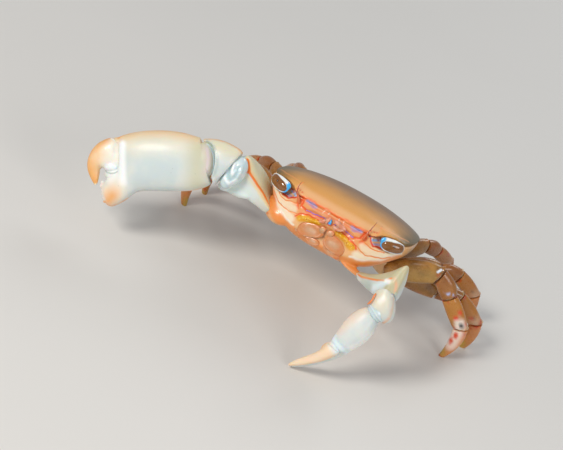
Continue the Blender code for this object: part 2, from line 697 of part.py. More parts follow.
def build_right_arm():
    build_merus(-1, "right", RIGHT_NECK, RIGHT_ELBOW)
    carpus = loft(hand_rings(RIGHT_SHEET, RIGHT_CARPUS))
    start_at(carpus, RIGHT_ELBOW)
    end_at(carpus, RIGHT_WRIST)
    add_piece("claw_right_carpus", "claw_cream", carpus)
    palm = loft(hand_rings(RIGHT_SHEET, RIGHT_PALM))
    start_at(palm, RIGHT_WRIST)
    add_piece("claw_right_palm", "claw_cream", palm)
    add_piece("claw_right_finger", "finger_orange", loft(hand_rings(RIGHT_SHEET, RIGHT_FINGER)))


def build_left_arm():
    build_merus(1, "left", LEFT_NECK, LEFT_ELBOW)
    rings = []
    for top, low, thickness in LEFT_CARPUS:
        top, low = from_eyes(*top), from_eyes(*low)
        normal = (top - low).cross(Vector((-0.5, -0.7, -0.5))).normalized()
        rings.append(oval_ring(top, low, normal, thickness))
    carpus = loft(rings)
    start_at(carpus, LEFT_ELBOW)
    end_at(carpus, LEFT_WRIST)
    add_piece("claw_left_carpus", "claw_cream", carpus)
    palm = loft(hand_rings(LEFT_SHEET, LEFT_PALM))
    start_at(palm, LEFT_WRIST)
    finger = loft(hand_rings(LEFT_SHEET, LEFT_FINGER))
    for mesh in (palm, finger):
        trim(mesh, Vector((0, 0, 0)), Vector((0, 0, -1)))
    add_piece("claw_left_palm", "claw_cream", palm)
    add_piece("claw_left_finger", "finger_orange", finger)


def build():
    clear_scene()
    build_carapace()
    build_underside()
    build_abdomen()
    build_eyes()
    build_feelers()
    build_mouth()
    build_legs()
    build_right_arm()
    build_left_arm()


build()
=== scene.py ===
import math

import bpy
import numpy as np
from mathutils import Matrix, Vector
from mathutils.kdtree import KDTree


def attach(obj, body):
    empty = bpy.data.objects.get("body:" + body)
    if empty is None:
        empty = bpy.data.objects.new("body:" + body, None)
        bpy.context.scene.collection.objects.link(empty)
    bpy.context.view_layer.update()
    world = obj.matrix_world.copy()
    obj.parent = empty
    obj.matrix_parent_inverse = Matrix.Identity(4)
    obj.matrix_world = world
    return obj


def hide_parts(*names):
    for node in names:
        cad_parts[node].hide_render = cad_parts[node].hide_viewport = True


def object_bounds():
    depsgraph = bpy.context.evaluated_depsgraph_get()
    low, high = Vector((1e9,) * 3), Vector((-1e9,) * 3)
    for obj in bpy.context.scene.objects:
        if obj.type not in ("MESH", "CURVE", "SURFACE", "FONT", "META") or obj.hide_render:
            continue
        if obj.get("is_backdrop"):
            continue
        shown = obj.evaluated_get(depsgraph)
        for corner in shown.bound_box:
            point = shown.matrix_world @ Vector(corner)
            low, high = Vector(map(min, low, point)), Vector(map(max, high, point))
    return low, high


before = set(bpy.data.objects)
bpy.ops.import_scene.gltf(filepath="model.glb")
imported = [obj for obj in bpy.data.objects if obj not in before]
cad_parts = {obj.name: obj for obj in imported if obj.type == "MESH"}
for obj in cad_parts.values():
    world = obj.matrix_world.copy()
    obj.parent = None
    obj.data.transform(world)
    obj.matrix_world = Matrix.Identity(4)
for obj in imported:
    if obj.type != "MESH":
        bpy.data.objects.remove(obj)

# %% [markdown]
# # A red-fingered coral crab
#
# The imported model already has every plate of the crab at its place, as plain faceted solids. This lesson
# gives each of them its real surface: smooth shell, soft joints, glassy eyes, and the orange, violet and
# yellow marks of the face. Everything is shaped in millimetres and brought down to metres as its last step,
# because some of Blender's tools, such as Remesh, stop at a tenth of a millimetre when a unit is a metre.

MM = 0.001
EYE_LINE = Vector((2.4, -2.6, 8.7))       # middle of the line through both eyes
PITCH = math.radians(18)                   # how far the nose points up
TO_BODY = Matrix.Rotation(PITCH, 3, "X")
cad_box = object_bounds()
print("frame: %d nodes, box %s" % (len(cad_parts),
                                   [tuple(round(v / MM, 2) for v in c) for c in cad_box]))


def of_body(x, y, z):
    """Body frame (x to the left, y to the rear, z out of the back) to the crab's frame, in millimetres."""
    return EYE_LINE + TO_BODY.transposed() @ Vector((x, y, z))


# %% [markdown]
# ## Hands
#
# A few small functions do what the hands do all the time: pick one object, open its mesh, apply a modifier.
# An operator works on all that is selected, and the loaded frame is selected at first, so each of them lets
# go of everything before it picks anything up.

# %% Picking up, opening, closing
def alone(piece):
    """Picks up one piece and lets go of everything else."""
    if bpy.context.object and bpy.context.object.mode != "OBJECT":
        bpy.ops.object.mode_set(mode="OBJECT")
    bpy.ops.object.select_all(action="DESELECT")
    piece.select_set(True)
    bpy.context.view_layer.objects.active = piece
    return piece


def open_mesh(piece, kind="VERT", action="SELECT"):
    """Edit mode on one piece, with all or nothing selected."""
    alone(piece)
    bpy.ops.object.mode_set(mode="EDIT")
    bpy.ops.mesh.select_mode(type=kind)
    bpy.ops.mesh.select_all(action=action)


def close_mesh():
    bpy.ops.object.mode_set(mode="OBJECT")


def apply_modifier(piece, kind, **settings):
    alone(piece)
    modifier = piece.modifiers.new(kind.title(), kind)
    for key, value in settings.items():
        setattr(modifier, key, value)
    bpy.ops.object.modifier_apply(modifier=modifier.name)
    return piece


def places(mesh):
    """All vertex places of a mesh as rows of x, y, z."""
    rows = np.empty(len(mesh.vertices) * 3)
    mesh.vertices.foreach_get("co", rows)
    return rows.reshape(-1, 3)


def directions(mesh):
    """The outward direction of every vertex."""
    rows = np.empty(len(mesh.vertices) * 3)
    mesh.vertices.foreach_get("normal", rows)
    return rows.reshape(-1, 3)


def put_back(mesh, rows):
    mesh.vertices.foreach_set("co", rows.ravel())
    mesh.update()


def body_rows(rows):
    """Rows of crab places turned into the body frame."""
    return (rows - np.array(EYE_LINE)) @ np.array(TO_BODY).T


# %% [markdown]
# ## A smooth skin over a faceted solid
#
# A limb plate of a crab is a smooth tube with crisp rims where it meets the next plate. The solid in the
# frame has the right places but flat facets. Sculpting each plate anew would lose those places, so a copy is
# used as the cage of a subdivision surface: loose triangles are merged and joined to quads, rims are creased
# so that they stay crisp, and the cage is pushed out a little, because a subdivision surface otherwise runs
# inside its cage.

# %% Copies and skins
def copy_of(node, name):
    """A merged copy of a CAD node in millimetres; the node itself is left alone."""
    piece = bpy.data.objects.new(name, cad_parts[node].data.copy())
    bpy.context.scene.collection.objects.link(piece)
    piece.data.materials.clear()
    open_mesh(piece)
    bpy.ops.mesh.customdata_custom_splitnormals_clear()
    bpy.ops.transform.resize(value=(1 / MM,) * 3, center_override=(0, 0, 0))
    bpy.ops.mesh.remove_doubles(threshold=0.02)
    bpy.ops.mesh.tris_convert_to_quads(face_threshold=math.radians(30), shape_threshold=math.radians(60))
    close_mesh()
    return piece


def smooth_skin(piece, levels=2, crease=0.8, rim_angle=50):
    """Subdivides a cage and keeps its size and its crisp rims."""
    open_mesh(piece, "EDGE", "DESELECT")
    bpy.ops.mesh.edges_select_sharp(sharpness=math.radians(rim_angle))
    bpy.ops.transform.edge_crease(value=crease)
    close_mesh()
    cage = places(piece.data)
    modifier = piece.modifiers.new("Skin", "SUBSURF")
    modifier.levels = modifier.render_levels = levels
    for _ in range(2):
        view = bpy.context.evaluated_depsgraph_get()
        skin = places(piece.evaluated_get(view).data)[:len(cage)]
        put_back(piece.data, places(piece.data) + 0.8 * (cage - skin))
    alone(piece)
    bpy.ops.object.modifier_apply(modifier=modifier.name)
    return piece


# %% [markdown]
# ## Finishes
#
# Crab shell is a smooth, slightly see-through layer of wax over colour. The finishes are written as sums on
# the sockets of the shader: a small class stands for one socket, and adding or multiplying two of them adds
# the Math node for it. Colours go through Mix nodes. Patterns read Object coordinates, turned by a Mapping
# node into the frame in which the pattern is simple: the body, or the flat plane of a hand.

# %% Sockets that can be added and multiplied
class Wire:
    """One output socket of a finish; adding or multiplying makes a Math node."""

    def __init__(self, finish, socket):
        self.finish = finish
        self.socket = socket

    def math(self, operation, *values):
        return self.finish.node("ShaderNodeMath", {"operation": operation}, values)

    def __add__(self, other):
        return self.math("ADD", self, other)

    def __mul__(self, other):
        return self.math("MULTIPLY", self, other)

    def __abs__(self):
        return self.math("ABSOLUTE", self)

    __radd__ = __add__
    __rmul__ = __mul__


def tint(code):
    """A colour written as on a paint card, turned into the shader's linear numbers."""
    parts = [int(code[index:index + 2], 16) / 255 for index in (0, 2, 4)]
    return (*[part / 12.92 if part < 0.04 else ((part + 0.055) / 1.055) ** 2.4 for part in parts], 1.0)


# %% A finish, built node by node
class Finish:
    """A Principled material; lengths are in millimetres, and the patterns come from its methods."""

    def __init__(self, name, roughness=0.3, coat=0.0, wax=0.0, wax_depth=0.4, gloss=0.5):
        self.material = bpy.data.materials.new(name)
        self.material.use_nodes = True
        self.tree = self.material.node_tree
        self.shader = self.tree.nodes["Principled BSDF"]
        self.set("Roughness", roughness)
        self.set("Coat Weight", coat)
        self.set("Coat Roughness", 0.08)
        self.set("Specular IOR Level", gloss)
        self.set("Subsurface Weight", wax)
        self.set("Subsurface Radius", (1.0, 0.55, 0.3))
        self.set("Subsurface Scale", wax_depth * MM)

    def node(self, kind, settings=None, values=(), output=0):
        made = self.tree.nodes.new(kind)
        for key, value in (settings or {}).items():
            setattr(made, key, value)
        for key, value in (values.items() if isinstance(values, dict) else enumerate(values)):
            self.feed(made.inputs[key], value)
        return Wire(self, made.outputs[output])

    def feed(self, socket, value):
        if isinstance(value, Wire):
            self.tree.links.new(value.socket, socket)
        else:
            socket.default_value = value

    def set(self, name, value):
        self.feed(self.shader.inputs[name], value)

    def where(self, origin=(0, 0, 0), axes=None):
        """Object coordinates in millimetres, in a frame of its own: an origin and its three axes as rows."""
        turn = Matrix(axes) if axes else Matrix.Identity(3)
        shift = -(turn @ Vector(origin))
        return self.node("ShaderNodeMapping", {}, {
            "Vector": self.node("ShaderNodeTexCoord", output=3), "Location": shift,
            "Rotation": turn.to_euler(), "Scale": (1 / MM,) * 3})

    def body(self):
        return self.where(EYE_LINE, TO_BODY)

    def split(self, vector):
        return [self.node("ShaderNodeSeparateXYZ", {}, [vector], output=index) for index in range(3)]

    def noise(self, place, scale, detail=3.0):
        return self.node("ShaderNodeTexNoise", {}, {"Vector": place, "Scale": scale, "Detail": detail})

    def cells(self, place, scale):
        return self.node("ShaderNodeTexVoronoi", {}, {"Vector": place, "Scale": scale})

    def step(self, value, low, high):
        """0 below low, 1 above high, and smooth between them. low may be the larger one."""
        return self.node("ShaderNodeMapRange", {"interpolation_type": "SMOOTHSTEP"},
                         [value, low, high, 0.0, 1.0])

    def mix(self, share, first, second):
        pair = [tint(colour) if isinstance(colour, str) else colour for colour in (first, second)]
        return self.node("ShaderNodeMix", {"data_type": "RGBA"}, {0: share, 6: pair[0], 7: pair[1]}, output=2)

    def bump(self, height, depth, strength=0.5):
        self.set("Normal", self.node("ShaderNodeBump", {}, {"Strength": strength, "Distance": depth * MM,
                                                           "Height": height}))

    def attribute(self, name, output):
        return self.node("ShaderNodeAttribute", {"attribute_name": name}, output=output)


# %% The last step of every piece
EDGE_ANGLE = math.radians(40)              # edges sharper than this stay crisp


def done(piece, finish, slot, *nodes):
    """Brings a finished piece to its real size, flat where it stands, and hands it to the frame."""
    painted(piece)
    rows = places(piece.data)
    rows[:, 2] = np.maximum(rows[:, 2], 0.0)
    put_back(piece.data, rows)
    open_mesh(piece)
    bpy.ops.transform.resize(value=(MM,) * 3, center_override=(0, 0, 0))
    close_mesh()
    bpy.ops.object.shade_smooth_by_angle(angle=EDGE_ANGLE)
    piece.data.materials.clear()
    piece.data.materials.append(finish.material)
    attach(piece, "root")
    if nodes:
        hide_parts(*nodes)
    print("%s: %d faces, %s" % (piece.name, len(piece.data.polygons), finish.material.name))


# %% [markdown]
# ## Painting along the surface
#
# The lines and patches of a crab follow its plates, so they are painted onto the points of the mesh, as a
# painter would with a brush, and the finish lays this paint over its own colour. A stroke is a path in a
# flat frame, such as the front view of the body, and every point of the piece near that path takes some of
# the colour.

# %% A brush
def painted(piece):
    """Rows of red, green, blue and cover, one for each point, empty at first."""
    layer = piece.data.color_attributes.get("paint")
    if layer is None:
        layer = piece.data.color_attributes.new("paint", "FLOAT_COLOR", "POINT")
        layer.data.foreach_set("color", np.zeros(len(piece.data.vertices) * 4))
    rows = np.empty(len(piece.data.vertices) * 4)
    layer.data.foreach_get("color", rows)
    return layer, rows.reshape(-1, 4)


def distance_to(path, rows):
    """Distance of each row from a path of straight bits, all flat or all in space."""
    path = np.array(path, float)
    if len(path) == 1:
        return np.linalg.norm(rows - path[0], axis=1)
    best = np.full(len(rows), 1e9)
    for start, end in zip(path, path[1:]):
        run = end - start
        share = np.clip((rows - start) @ run / max(run @ run, 1e-12), 0, 1)
        best = np.minimum(best, np.linalg.norm(rows - start - share[:, None] * run, axis=1))
    return best


def brush(piece, flat, code, width, path, soft=0.4, cover=1.0, only=None):
    """Paints a stroke: flat holds each point's place in the frame of the path, only is a mask of points."""
    layer, rows = painted(piece)
    reach = distance_to(path, flat)
    share = np.clip((width / 2 * (1 + soft) - reach) / (width * soft + 1e-9), 0, 1)
    share = cover * share * share * (3 - 2 * share)
    if only is not None:
        share = share * only
    fresh = np.array(tint(code)[:3])
    total = share + rows[:, 3] * (1 - share)
    safe = np.maximum(total, 1e-9)[:, None]
    rows[:, :3] = (share[:, None] * fresh + (rows[:, 3] * (1 - share))[:, None] * rows[:, :3]) / safe
    rows[:, 3] = total
    layer.data.foreach_set("color", rows.ravel())


def paint_on(piece, flat, *strokes):
    """Several strokes one after the other: colour, width, path and, where given, softness, cover and mask."""
    for stroke in strokes:
        brush(piece, flat, *stroke)


# %% Ridges, grooves, and the paint in a finish
def raised(piece, width, height, path, flat=None, only=1.0):
    """Lifts a low ridge along a path, in space or in a flat frame; a negative height presses a groove."""
    rows = places(piece.data)
    share = np.clip(1 - distance_to(path, rows if flat is None else flat) / width, 0, 1)
    lift = share * share * (3 - 2 * share) * height * only
    put_back(piece.data, rows + directions(piece.data) * lift[:, None])


def paint_over(finish, colour):
    """Lays the paint of a piece over a colour."""
    return finish.mix(finish.attribute("paint", output=3), colour, finish.attribute("paint", output=0))


# %% [markdown]
# ## Strands
#
# Feelers, the folded ones too, and the ridges at the wrists are all strands: a ring that is pulled along a
# path and changes its size on the way. A curve with a round bevel could do this too, but a ring extruded by
# hand keeps the number of faces low and gives closed ends.

# %% A ring pulled along a path
def strand(name, path, radii, sides=10, level=1):
    """A closed strand through points, with one radius for each."""
    path = [Vector(point) for point in path]
    bpy.ops.object.select_all(action="DESELECT")
    bpy.ops.mesh.primitive_circle_add(vertices=sides, radius=1, fill_type="NGON")
    made = bpy.context.object
    made.name = name
    open_mesh(made)
    for _ in path[1:]:
        bpy.ops.mesh.extrude_region_move()
    close_mesh()
    for index, (point, radius) in enumerate(zip(path, radii)):
        ahead = path[min(index + 1, len(path) - 1)] - path[max(index - 1, 0)]
        turn = ahead.to_track_quat("Z", "Y").to_matrix()
        for step in range(sides):
            angle = math.tau * step / sides
            across = turn @ Vector((math.cos(angle), math.sin(angle), 0)) * radius
            made.data.vertices[index * sides + step].co = point + across
    open_mesh(made)
    bpy.ops.mesh.normals_make_consistent(inside=False)
    close_mesh()
    if level:
        apply_modifier(made, "SUBSURF", levels=level, render_levels=level)
    return made


def joined(name, pieces):
    """Several pieces as one object."""
    alone(pieces[0])
    for piece in pieces[1:]:
        piece.select_set(True)
    bpy.ops.object.join()
    pieces[0].name = name
    return pieces[0]


# %% [markdown]
# ## Carapace
#
# The shield on the back is one smooth plate, as glossy as a porcelain lid, squarer in front than behind,
# with an eye socket cut into each front corner. It could be sculpted, but it follows a plain rule, so a
# sphere is added and each of its points is moved onto the shield. The sockets are then cut out, and a fine
# remesh with a few rounds of smoothing gives them the soft lip that real shell has.

# %% The plan and the rim of the shield
HALF_WIDTH, WIDEST, TO_BROW, TO_TAIL = 6.0, 2.8, 3.55, 7.6
FRONT_SQUARENESS, REAR_SQUARENESS = 3.5, 2.3
DOME_TOP = 1.25
SHELL_VOXEL = 0.085                        # fineness of the remesh of both shells


def plan(turn, inset=0.0):
    """Reach of the shield in one direction, and the height of its rim there; a quarter turn is the brow."""
    forward = math.sin(turn) > 0
    power = FRONT_SQUARENESS if forward else REAR_SQUARENESS
    across = abs(math.cos(turn)) / (HALF_WIDTH - inset)
    along = abs(math.sin(turn)) / ((TO_BROW if forward else TO_TAIL) - inset)
    reach = (across ** power + along ** power) ** (-1 / power)
    side = (reach * across) ** power
    lift = 0.45 * side - (0 if forward else 0.35 * (1 - side))
    front = (1 - side) ** 1.5 if forward else 0.0
    return reach, lift, front


def shield_point(turn, polar):
    """The shield: a dome above, a rolled rim, and a shallow inner side below."""
    reach, lift, _ = plan(turn)
    if polar <= math.pi / 2:
        share = math.sin(polar)
        height = lift * share + (DOME_TOP - lift * share) * (1 - share ** 2.6) ** 0.8
    else:
        under = polar / (math.pi / 2) - 1
        share = 1 - under ** 1.6
        height = lift * share - 0.3 * (1 - (1 - under) ** 6)
    return of_body(share * reach * math.cos(turn), WIDEST - share * reach * math.sin(turn), height)


def bowl_point(turn, polar):
    """The lower shell: a flat lid above, a steep face and slanting flanks below."""
    reach, lift, front = plan(turn, 0.03)
    if polar <= math.pi / 2:
        share = math.sin(polar)
        height = -0.16 + lift * share
    else:
        drop = polar - math.pi / 2
        steepness = 1.75 + 2.45 * front
        share = max(math.cos(drop), 0.0) ** (2 / steepness)
        height = -0.16 + lift * share - 0.39 * min(1.0, drop / 0.3) - 2.85 * math.sin(drop) ** (2 / steepness)
    return of_body(share * reach * math.cos(turn), WIDEST - share * reach * math.sin(turn), height)


def shell_from(name, point_at, segments=144, rings=96):
    """A sphere whose points are moved to where point_at says."""
    bpy.ops.object.select_all(action="DESELECT")
    bpy.ops.mesh.primitive_uv_sphere_add(segments=segments, ring_count=rings, radius=1)
    shell = bpy.context.object
    shell.name = name
    for point in shell.data.vertices:
        turn = math.atan2(point.co.y, point.co.x)
        point.co = point_at(turn, math.acos(max(-1.0, min(1.0, point.co.z))))
    open_mesh(shell)
    bpy.ops.mesh.normals_make_consistent(inside=False)
    close_mesh()
    return shell


# %% [markdown]
# Each front corner of the shield has a hollow for an eye. A boolean with a stretched sphere cuts it more
# evenly than points pushed in by hand, and the same egg will cut the lower shell too, so that both plates
# agree.

# %% Eye sockets are cut with an egg
EYE_AT = Vector((4.88, -0.12, -0.08))
EYE_RISE, EYE_SWEEP = math.radians(7), math.radians(22)


def eye_axes(side):
    """Outwards along the eye, ahead out of the socket, and up, in the crab's frame."""
    outward = Vector((side * math.cos(EYE_SWEEP) * math.cos(EYE_RISE),
                      math.sin(EYE_SWEEP), math.sin(EYE_RISE)))
    outward.normalize()
    ahead = (outward.cross(Vector((0, 0, 1))) * side).normalized()
    back = TO_BODY.transposed()
    return back @ outward, back @ ahead, back @ (outward.cross(ahead) * -side)


def egg(name, centre, axes, radii, segments=40, rings=24):
    """A sphere stretched along three axes of its own."""
    bpy.ops.object.select_all(action="DESELECT")
    bpy.ops.mesh.primitive_uv_sphere_add(segments=segments, ring_count=rings, radius=1)
    made = bpy.context.object
    made.name = name
    rows = places(made.data)
    put_back(made.data, np.array(centre) + rows @ np.array([np.array(a) * r for a, r in zip(axes, radii)]))
    open_mesh(made)
    bpy.ops.mesh.normals_make_consistent(inside=False)
    close_mesh()
    return made


def cut_out(piece, cutters):
    """Takes each cutter out of a piece and throws the cutter away."""
    for cutter in cutters:
        apply_modifier(piece, "BOOLEAN", object=cutter, operation="DIFFERENCE", solver="EXACT")
        bpy.data.objects.remove(cutter, do_unlink=True)


def socket_egg(side):
    """The hollow of one eye."""
    axes = eye_axes(side)
    centre = of_body(side * EYE_AT.x, EYE_AT.y, EYE_AT.z) - axes[0] * 0.3
    return egg("socket", centre, axes, (1.32, 0.64, 0.6))


BODY_AXES = [TO_BODY.transposed() @ Vector(axis) for axis in ((1, 0, 0), (0, 1, 0), (0, 0, 1))]

carapace = shell_from("carapace_shell", shield_point)
cut_out(carapace, [socket_egg(side) for side in (1, -1)])
apply_modifier(carapace, "REMESH", mode="VOXEL", voxel_size=SHELL_VOXEL)
apply_modifier(carapace, "SMOOTH", factor=0.5, iterations=5)
print("carapace:", len(carapace.data.vertices), "points")

# %% [markdown]
# The marks at the brow cross from the shield to the face below it, so both plates get the same strokes. They
# are drawn in the front view of one side, and the other side gets them mirrored: x runs outwards from the
# middle, z up.

# %% Strokes of the brow and the face
RUST, EMBER, VIOLET, LILAC, SKY, YOLK, IVORY, BLUSH = (
    "ee6420", "d9421a", "8683ee", "b3a4cc", "9cc4ee", "e6a404", "f8eedd", "eda272")
FACE_STROKES = (
    # colour, width, softness, cover, path
    ("eca060", 1.5, 0.5, 0.85, ((0, -0.55), (1.4, -0.7), (2.6, -0.75))),
    (BLUSH, 0.5, 0.6, 0.7, ((0.2, -0.35), (1.3, -0.35))),
    (LILAC, 0.34, 0.6, 0.9, ((1.62, -0.2), (2.3, -0.16))),
    ("9a8fc4", 0.18, 0.8, 0.8, ((1.75, -0.34), (2.1, -0.24))),
    # painted highlights: two short white glints on the strip under the brow
    (IVORY, 0.07, 0.7, 0.9, ((0.82, -0.08), (0.86, -0.36))),
    (IVORY, 0.06, 0.7, 0.8, ((0.42, -0.12), (0.47, -0.3))),
    (RUST, 0.2, 0.4, 1.0, ((0.3, -0.73), (1.12, -0.8), (1.9, -0.9), (2.5, -0.7), (2.62, -0.3))),
    (VIOLET, 0.075, 0.4, 1.0, ((0.36, -0.66), (1.12, -0.73), (1.8, -0.82), (2.05, -0.85))),
    (YOLK, 0.5, 0.5, 1.0, ((0.85, -1.2), (1.5, -1.3), (2.2, -1.62))),
    (YOLK, 0.3, 0.5, 0.9, ((1.9, -1.2), (2.4, -1.5))),
    (RUST, 0.14, 0.5, 1.0, ((0.6, -1.0), (0.9, -0.97), (1.73, -1.03), (2.5, -1.34), (2.62, -1.6))),
    (BLUSH, 0.12, 0.6, 0.8, ((0.5, -0.9), (1.6, -0.93), (2.4, -1.12))),
    (RUST, 0.26, 0.6, 0.9, ((2.62, -0.2), (2.9, -0.5), (2.75, -0.95))),
    ("f3dcbc", 0.55, 0.6, 0.9, ((3.0, -1.15), (3.8, -1.2), (4.6, -0.95))),
    ("f6e4c8", 0.7, 0.5, 0.95, ((2.9, -1.95), (3.8, -1.8), (4.7, -1.3), (5.3, -0.7))),
    (IVORY, 0.2, 0.6, 0.9, ((2.5, -2.3), (3.3, -2.12), (4.2, -1.72), (4.95, -1.12), (5.5, -0.45))),
    ("ec8636", 0.085, 0.6, 1.0, ((2.9, -0.72), (3.2, -0.8), (3.9, -0.98), (4.6, -0.78))),
    ("ec8636", 0.085, 0.6, 1.0,
     ((2.55, -1.38), (2.85, -1.42), (3.4, -1.6), (3.95, -1.48), (4.5, -1.3), (5.1, -0.95))),
    (SKY, 0.2, 0.6, 0.9, ((3.3, -0.3), (3.9, -0.2))),
    (LILAC, 0.16, 0.6, 0.9, ((3.55, -0.56), (4.2, -0.54))),
    (EMBER, 0.12, 0.5, 1.0, ((2.75, -0.05), (3.1, -0.12), (3.3, -0.45), (3.7, -0.72), (4.3, -0.66))),
    (EMBER, 0.08, 0.5, 1.0, ((3.35, 0.02), (3.75, -0.02), (4.05, -0.12))),
    ("5d4560", 0.06, 0.5, 0.9, ((3.02, -0.16), (3.4, -0.04), (3.8, 0.05))),
)


def face_view(piece):
    """Front view of a piece, folded over its middle and slightly wavy, the places in the body, and a mask."""
    rows = body_rows(places(piece.data))
    x, z = np.abs(rows[:, 0]), rows[:, 2]
    phase = np.where(rows[:, 0] > 0, 0.0, 2.1)
    flat = np.stack([x + 0.035 * np.sin(5.1 * z + phase) + 0.014 * np.sin(13.0 * z + 3 * x),
                     z + 0.035 * np.sin(4.3 * x + phase) + 0.016 * np.sin(11.0 * x + 2 * phase)], axis=1)
    return flat, rows, (rows[:, 1] < 1.2).astype(float)


def face_paint(piece):
    """Paints the face strokes and a few freckles on all of a piece that looks forward."""
    flat, rows, ahead = face_view(piece)
    for code, width, soft, cover, path in FACE_STROKES:
        brush(piece, flat, code, width, path, soft, cover, ahead)
    freckles = np.random.default_rng(11)
    for _ in range(26):
        spot = (freckles.uniform(2.7, 4.2), freckles.uniform(-0.3, 0.03))
        brush(piece, flat, EMBER, freckles.uniform(0.04, 0.11), (spot,), 0.8, 0.8, ahead)
    return flat, rows, ahead


flat, rows, ahead = face_paint(carapace)
brush(carapace, flat, "f0681a", 0.17, ((0, -0.02), (0.9, 0.02), (1.9, 0.03), (2.8, 0.02)), 0.5, 1.0, ahead)
top_view = np.stack([np.abs(rows[:, 0]), rows[:, 1]], axis=1)
above = (rows[:, 2] > -0.02).astype(float)
paint_on(carapace, top_view,
         ("f08a3c", 0.1, ((3.58, -0.6), (3.52, -0.1), (3.42, 0.35)), 0.7, 0.9, above),
         ("f0a060", 0.16, ((3.55, 0.2), (4.1, 0.42), (5.0, 0.75), (5.6, 1.3)), 0.9, 0.55, above),
         ("f3c79c", 0.5, ((0, -0.45), (2.6, -0.4), (3.3, -0.2)), 0.9, 0.45, above))
for x, y in ((3.0, -0.52), (3.22, -0.46), (3.4, -0.4)):
    brush(carapace, top_view, EMBER, 0.12, ((x, y),), 0.6, 0.9, above)

# %% [markdown]
# The colour of the shield is a warm orange tan behind the brow, paler and pinker along the front edge. It
# turns browner over the back and olive at both sides: this darkening is painted shade, where the light falls
# off away from the front. The colour lies deep in the shell, so the changes are broad and soft, and fine
# cloudy noise keeps them from looking sprayed on.

# %% Finish of the carapace
shield_finish = Finish("carapace_tan", coat=0.12, wax=0.3, wax_depth=0.4, gloss=0.4)
place = shield_finish.body()
x, y, _ = shield_finish.split(place)
cloud = shield_finish.noise(place, 0.55, 4.0)
grain = shield_finish.noise(place, 9.0, 3.0)
# painted shade: browner towards the back and olive at the sides, where the light falls off
back = shield_finish.step(y + 1.6 * cloud, 0.6, 6.6)
sides = shield_finish.step(abs(x) + 0.8 * cloud, 4.3, 6.3)
brow = shield_finish.step(y + 0.5 * cloud, 0.55, -0.5)
colour = shield_finish.mix(back, "e0a052", "734a22")
colour = shield_finish.mix(sides * 0.94, colour, "4a4424")
colour = shield_finish.mix(brow * 0.8, colour, "eeac6a")
colour = shield_finish.mix(shield_finish.step(grain, 0.35, 0.75) * 0.12, colour, "ecc084")
shield_finish.set("Base Color", paint_over(shield_finish, colour))
shield_finish.set("Roughness", 0.36 + 0.12 * grain)
shield_finish.bump(grain + 0.6 * shield_finish.noise(place, 26.0, 2.0), 0.01)
done(carapace, shield_finish, "shell_carapace", "carapace")

# %% [markdown]
# ## Lower shell
#
# Below the shield the body is a bowl: the face is steep, the flanks slant in to the legs. Short stumps carry
# the legs and the arms. Welding them on by hand would leave seams, so they only overlap the bowl, and one
# remesh melts everything together with small soft fillets, as at the hip of a real crab.

# %% Where two plates meet
def seam_between(near, far, reach=0.62):
    """Where two CAD nodes meet: the middle, the direction across, two half widths, and the axes of these."""
    a = places(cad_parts[near].data) / MM
    b = places(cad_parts[far].data) / MM
    tree = KDTree(len(b))
    for index, row in enumerate(b):
        tree.insert(row, index)
    tree.balance()
    close = np.unique(np.round([row for row in a if tree.find(row)[2] < reach], 3), axis=0)
    middle = close.mean(axis=0)
    spread = np.linalg.svd(close - middle)[2]
    across = Vector(spread[2])
    if across.dot(Vector(b.mean(axis=0) - middle)) < 0:
        across = -across
    wide = [float(np.abs((close - middle) @ axis).max()) for axis in spread[:2]]
    return Vector(middle), across, wide, (Vector(spread[0]), Vector(spread[1]))


# %% Bowl, stumps and the hollows of the face
bowl = shell_from("underside_shell", bowl_point)
stumps = []
LIMB_ROOTS = ["claw_%s_merus" % word for word in ("left", "right")]
LIMB_ROOTS += ["leg_%s_%d_merus" % (word, n) for word in ("left", "right") for n in range(1, 5)]
for root in LIMB_ROOTS:
    side = 1 if "left" in root else -1
    middle, across, wide, (long_axis, short_axis) = seam_between(root, "underside")
    inner = Vector((middle.x - side * 2.0, middle.y + 0.2, middle.z + (0.9 if "leg" in root else 0.3)))
    size = 1.05 if "leg" in root else 0.8
    stumps.append(egg("stump", middle.lerp(inner, 0.42), (
        (inner - middle).normalized(), long_axis, short_axis), (1.25, wide[0] * size, wide[1] * size)))
alone(bowl)
for stump in stumps:
    stump.select_set(True)
bpy.ops.object.join()
apply_modifier(bowl, "REMESH", mode="VOXEL", voxel_size=SHELL_VOXEL)
cutters = [socket_egg(side) for side in (1, -1)]
cutters += [egg("fossa", of_body(side * 1.3, -0.82, -0.88), BODY_AXES, (1.02, 0.42, 0.34))
            for side in (1, -1)]
cutters.append(egg("mouth", of_body(0, -0.8, -2.05), BODY_AXES, (2.35, 0.5, 1.0)))
cut_out(bowl, cutters)
apply_modifier(bowl, "REMESH", mode="VOXEL", voxel_size=SHELL_VOXEL)
apply_modifier(bowl, "SMOOTH", factor=0.5, iterations=6)
open_mesh(bowl, "FACE", "DESELECT")
bpy.ops.object.mode_set(mode="OBJECT")
rows = body_rows(places(bowl.data))
for face in bowl.data.polygons:
    x, y, z = rows[face.vertices[0]]
    face.select = bool(y < 1.0 and z > -2.75)
bpy.ops.object.mode_set(mode="EDIT")
bpy.ops.mesh.subdivide(number_cuts=1)
close_mesh()
print("lower shell:", len(bowl.data.vertices), "points")

# %% [markdown]
# The breast is made of plates that meet in shallow grooves, one between each two legs and one along the
# middle. The face has fine furrows under its orange lines. All are pressed into the points along paths,
# because a boolean would leave hard steps on a skin that is soft.

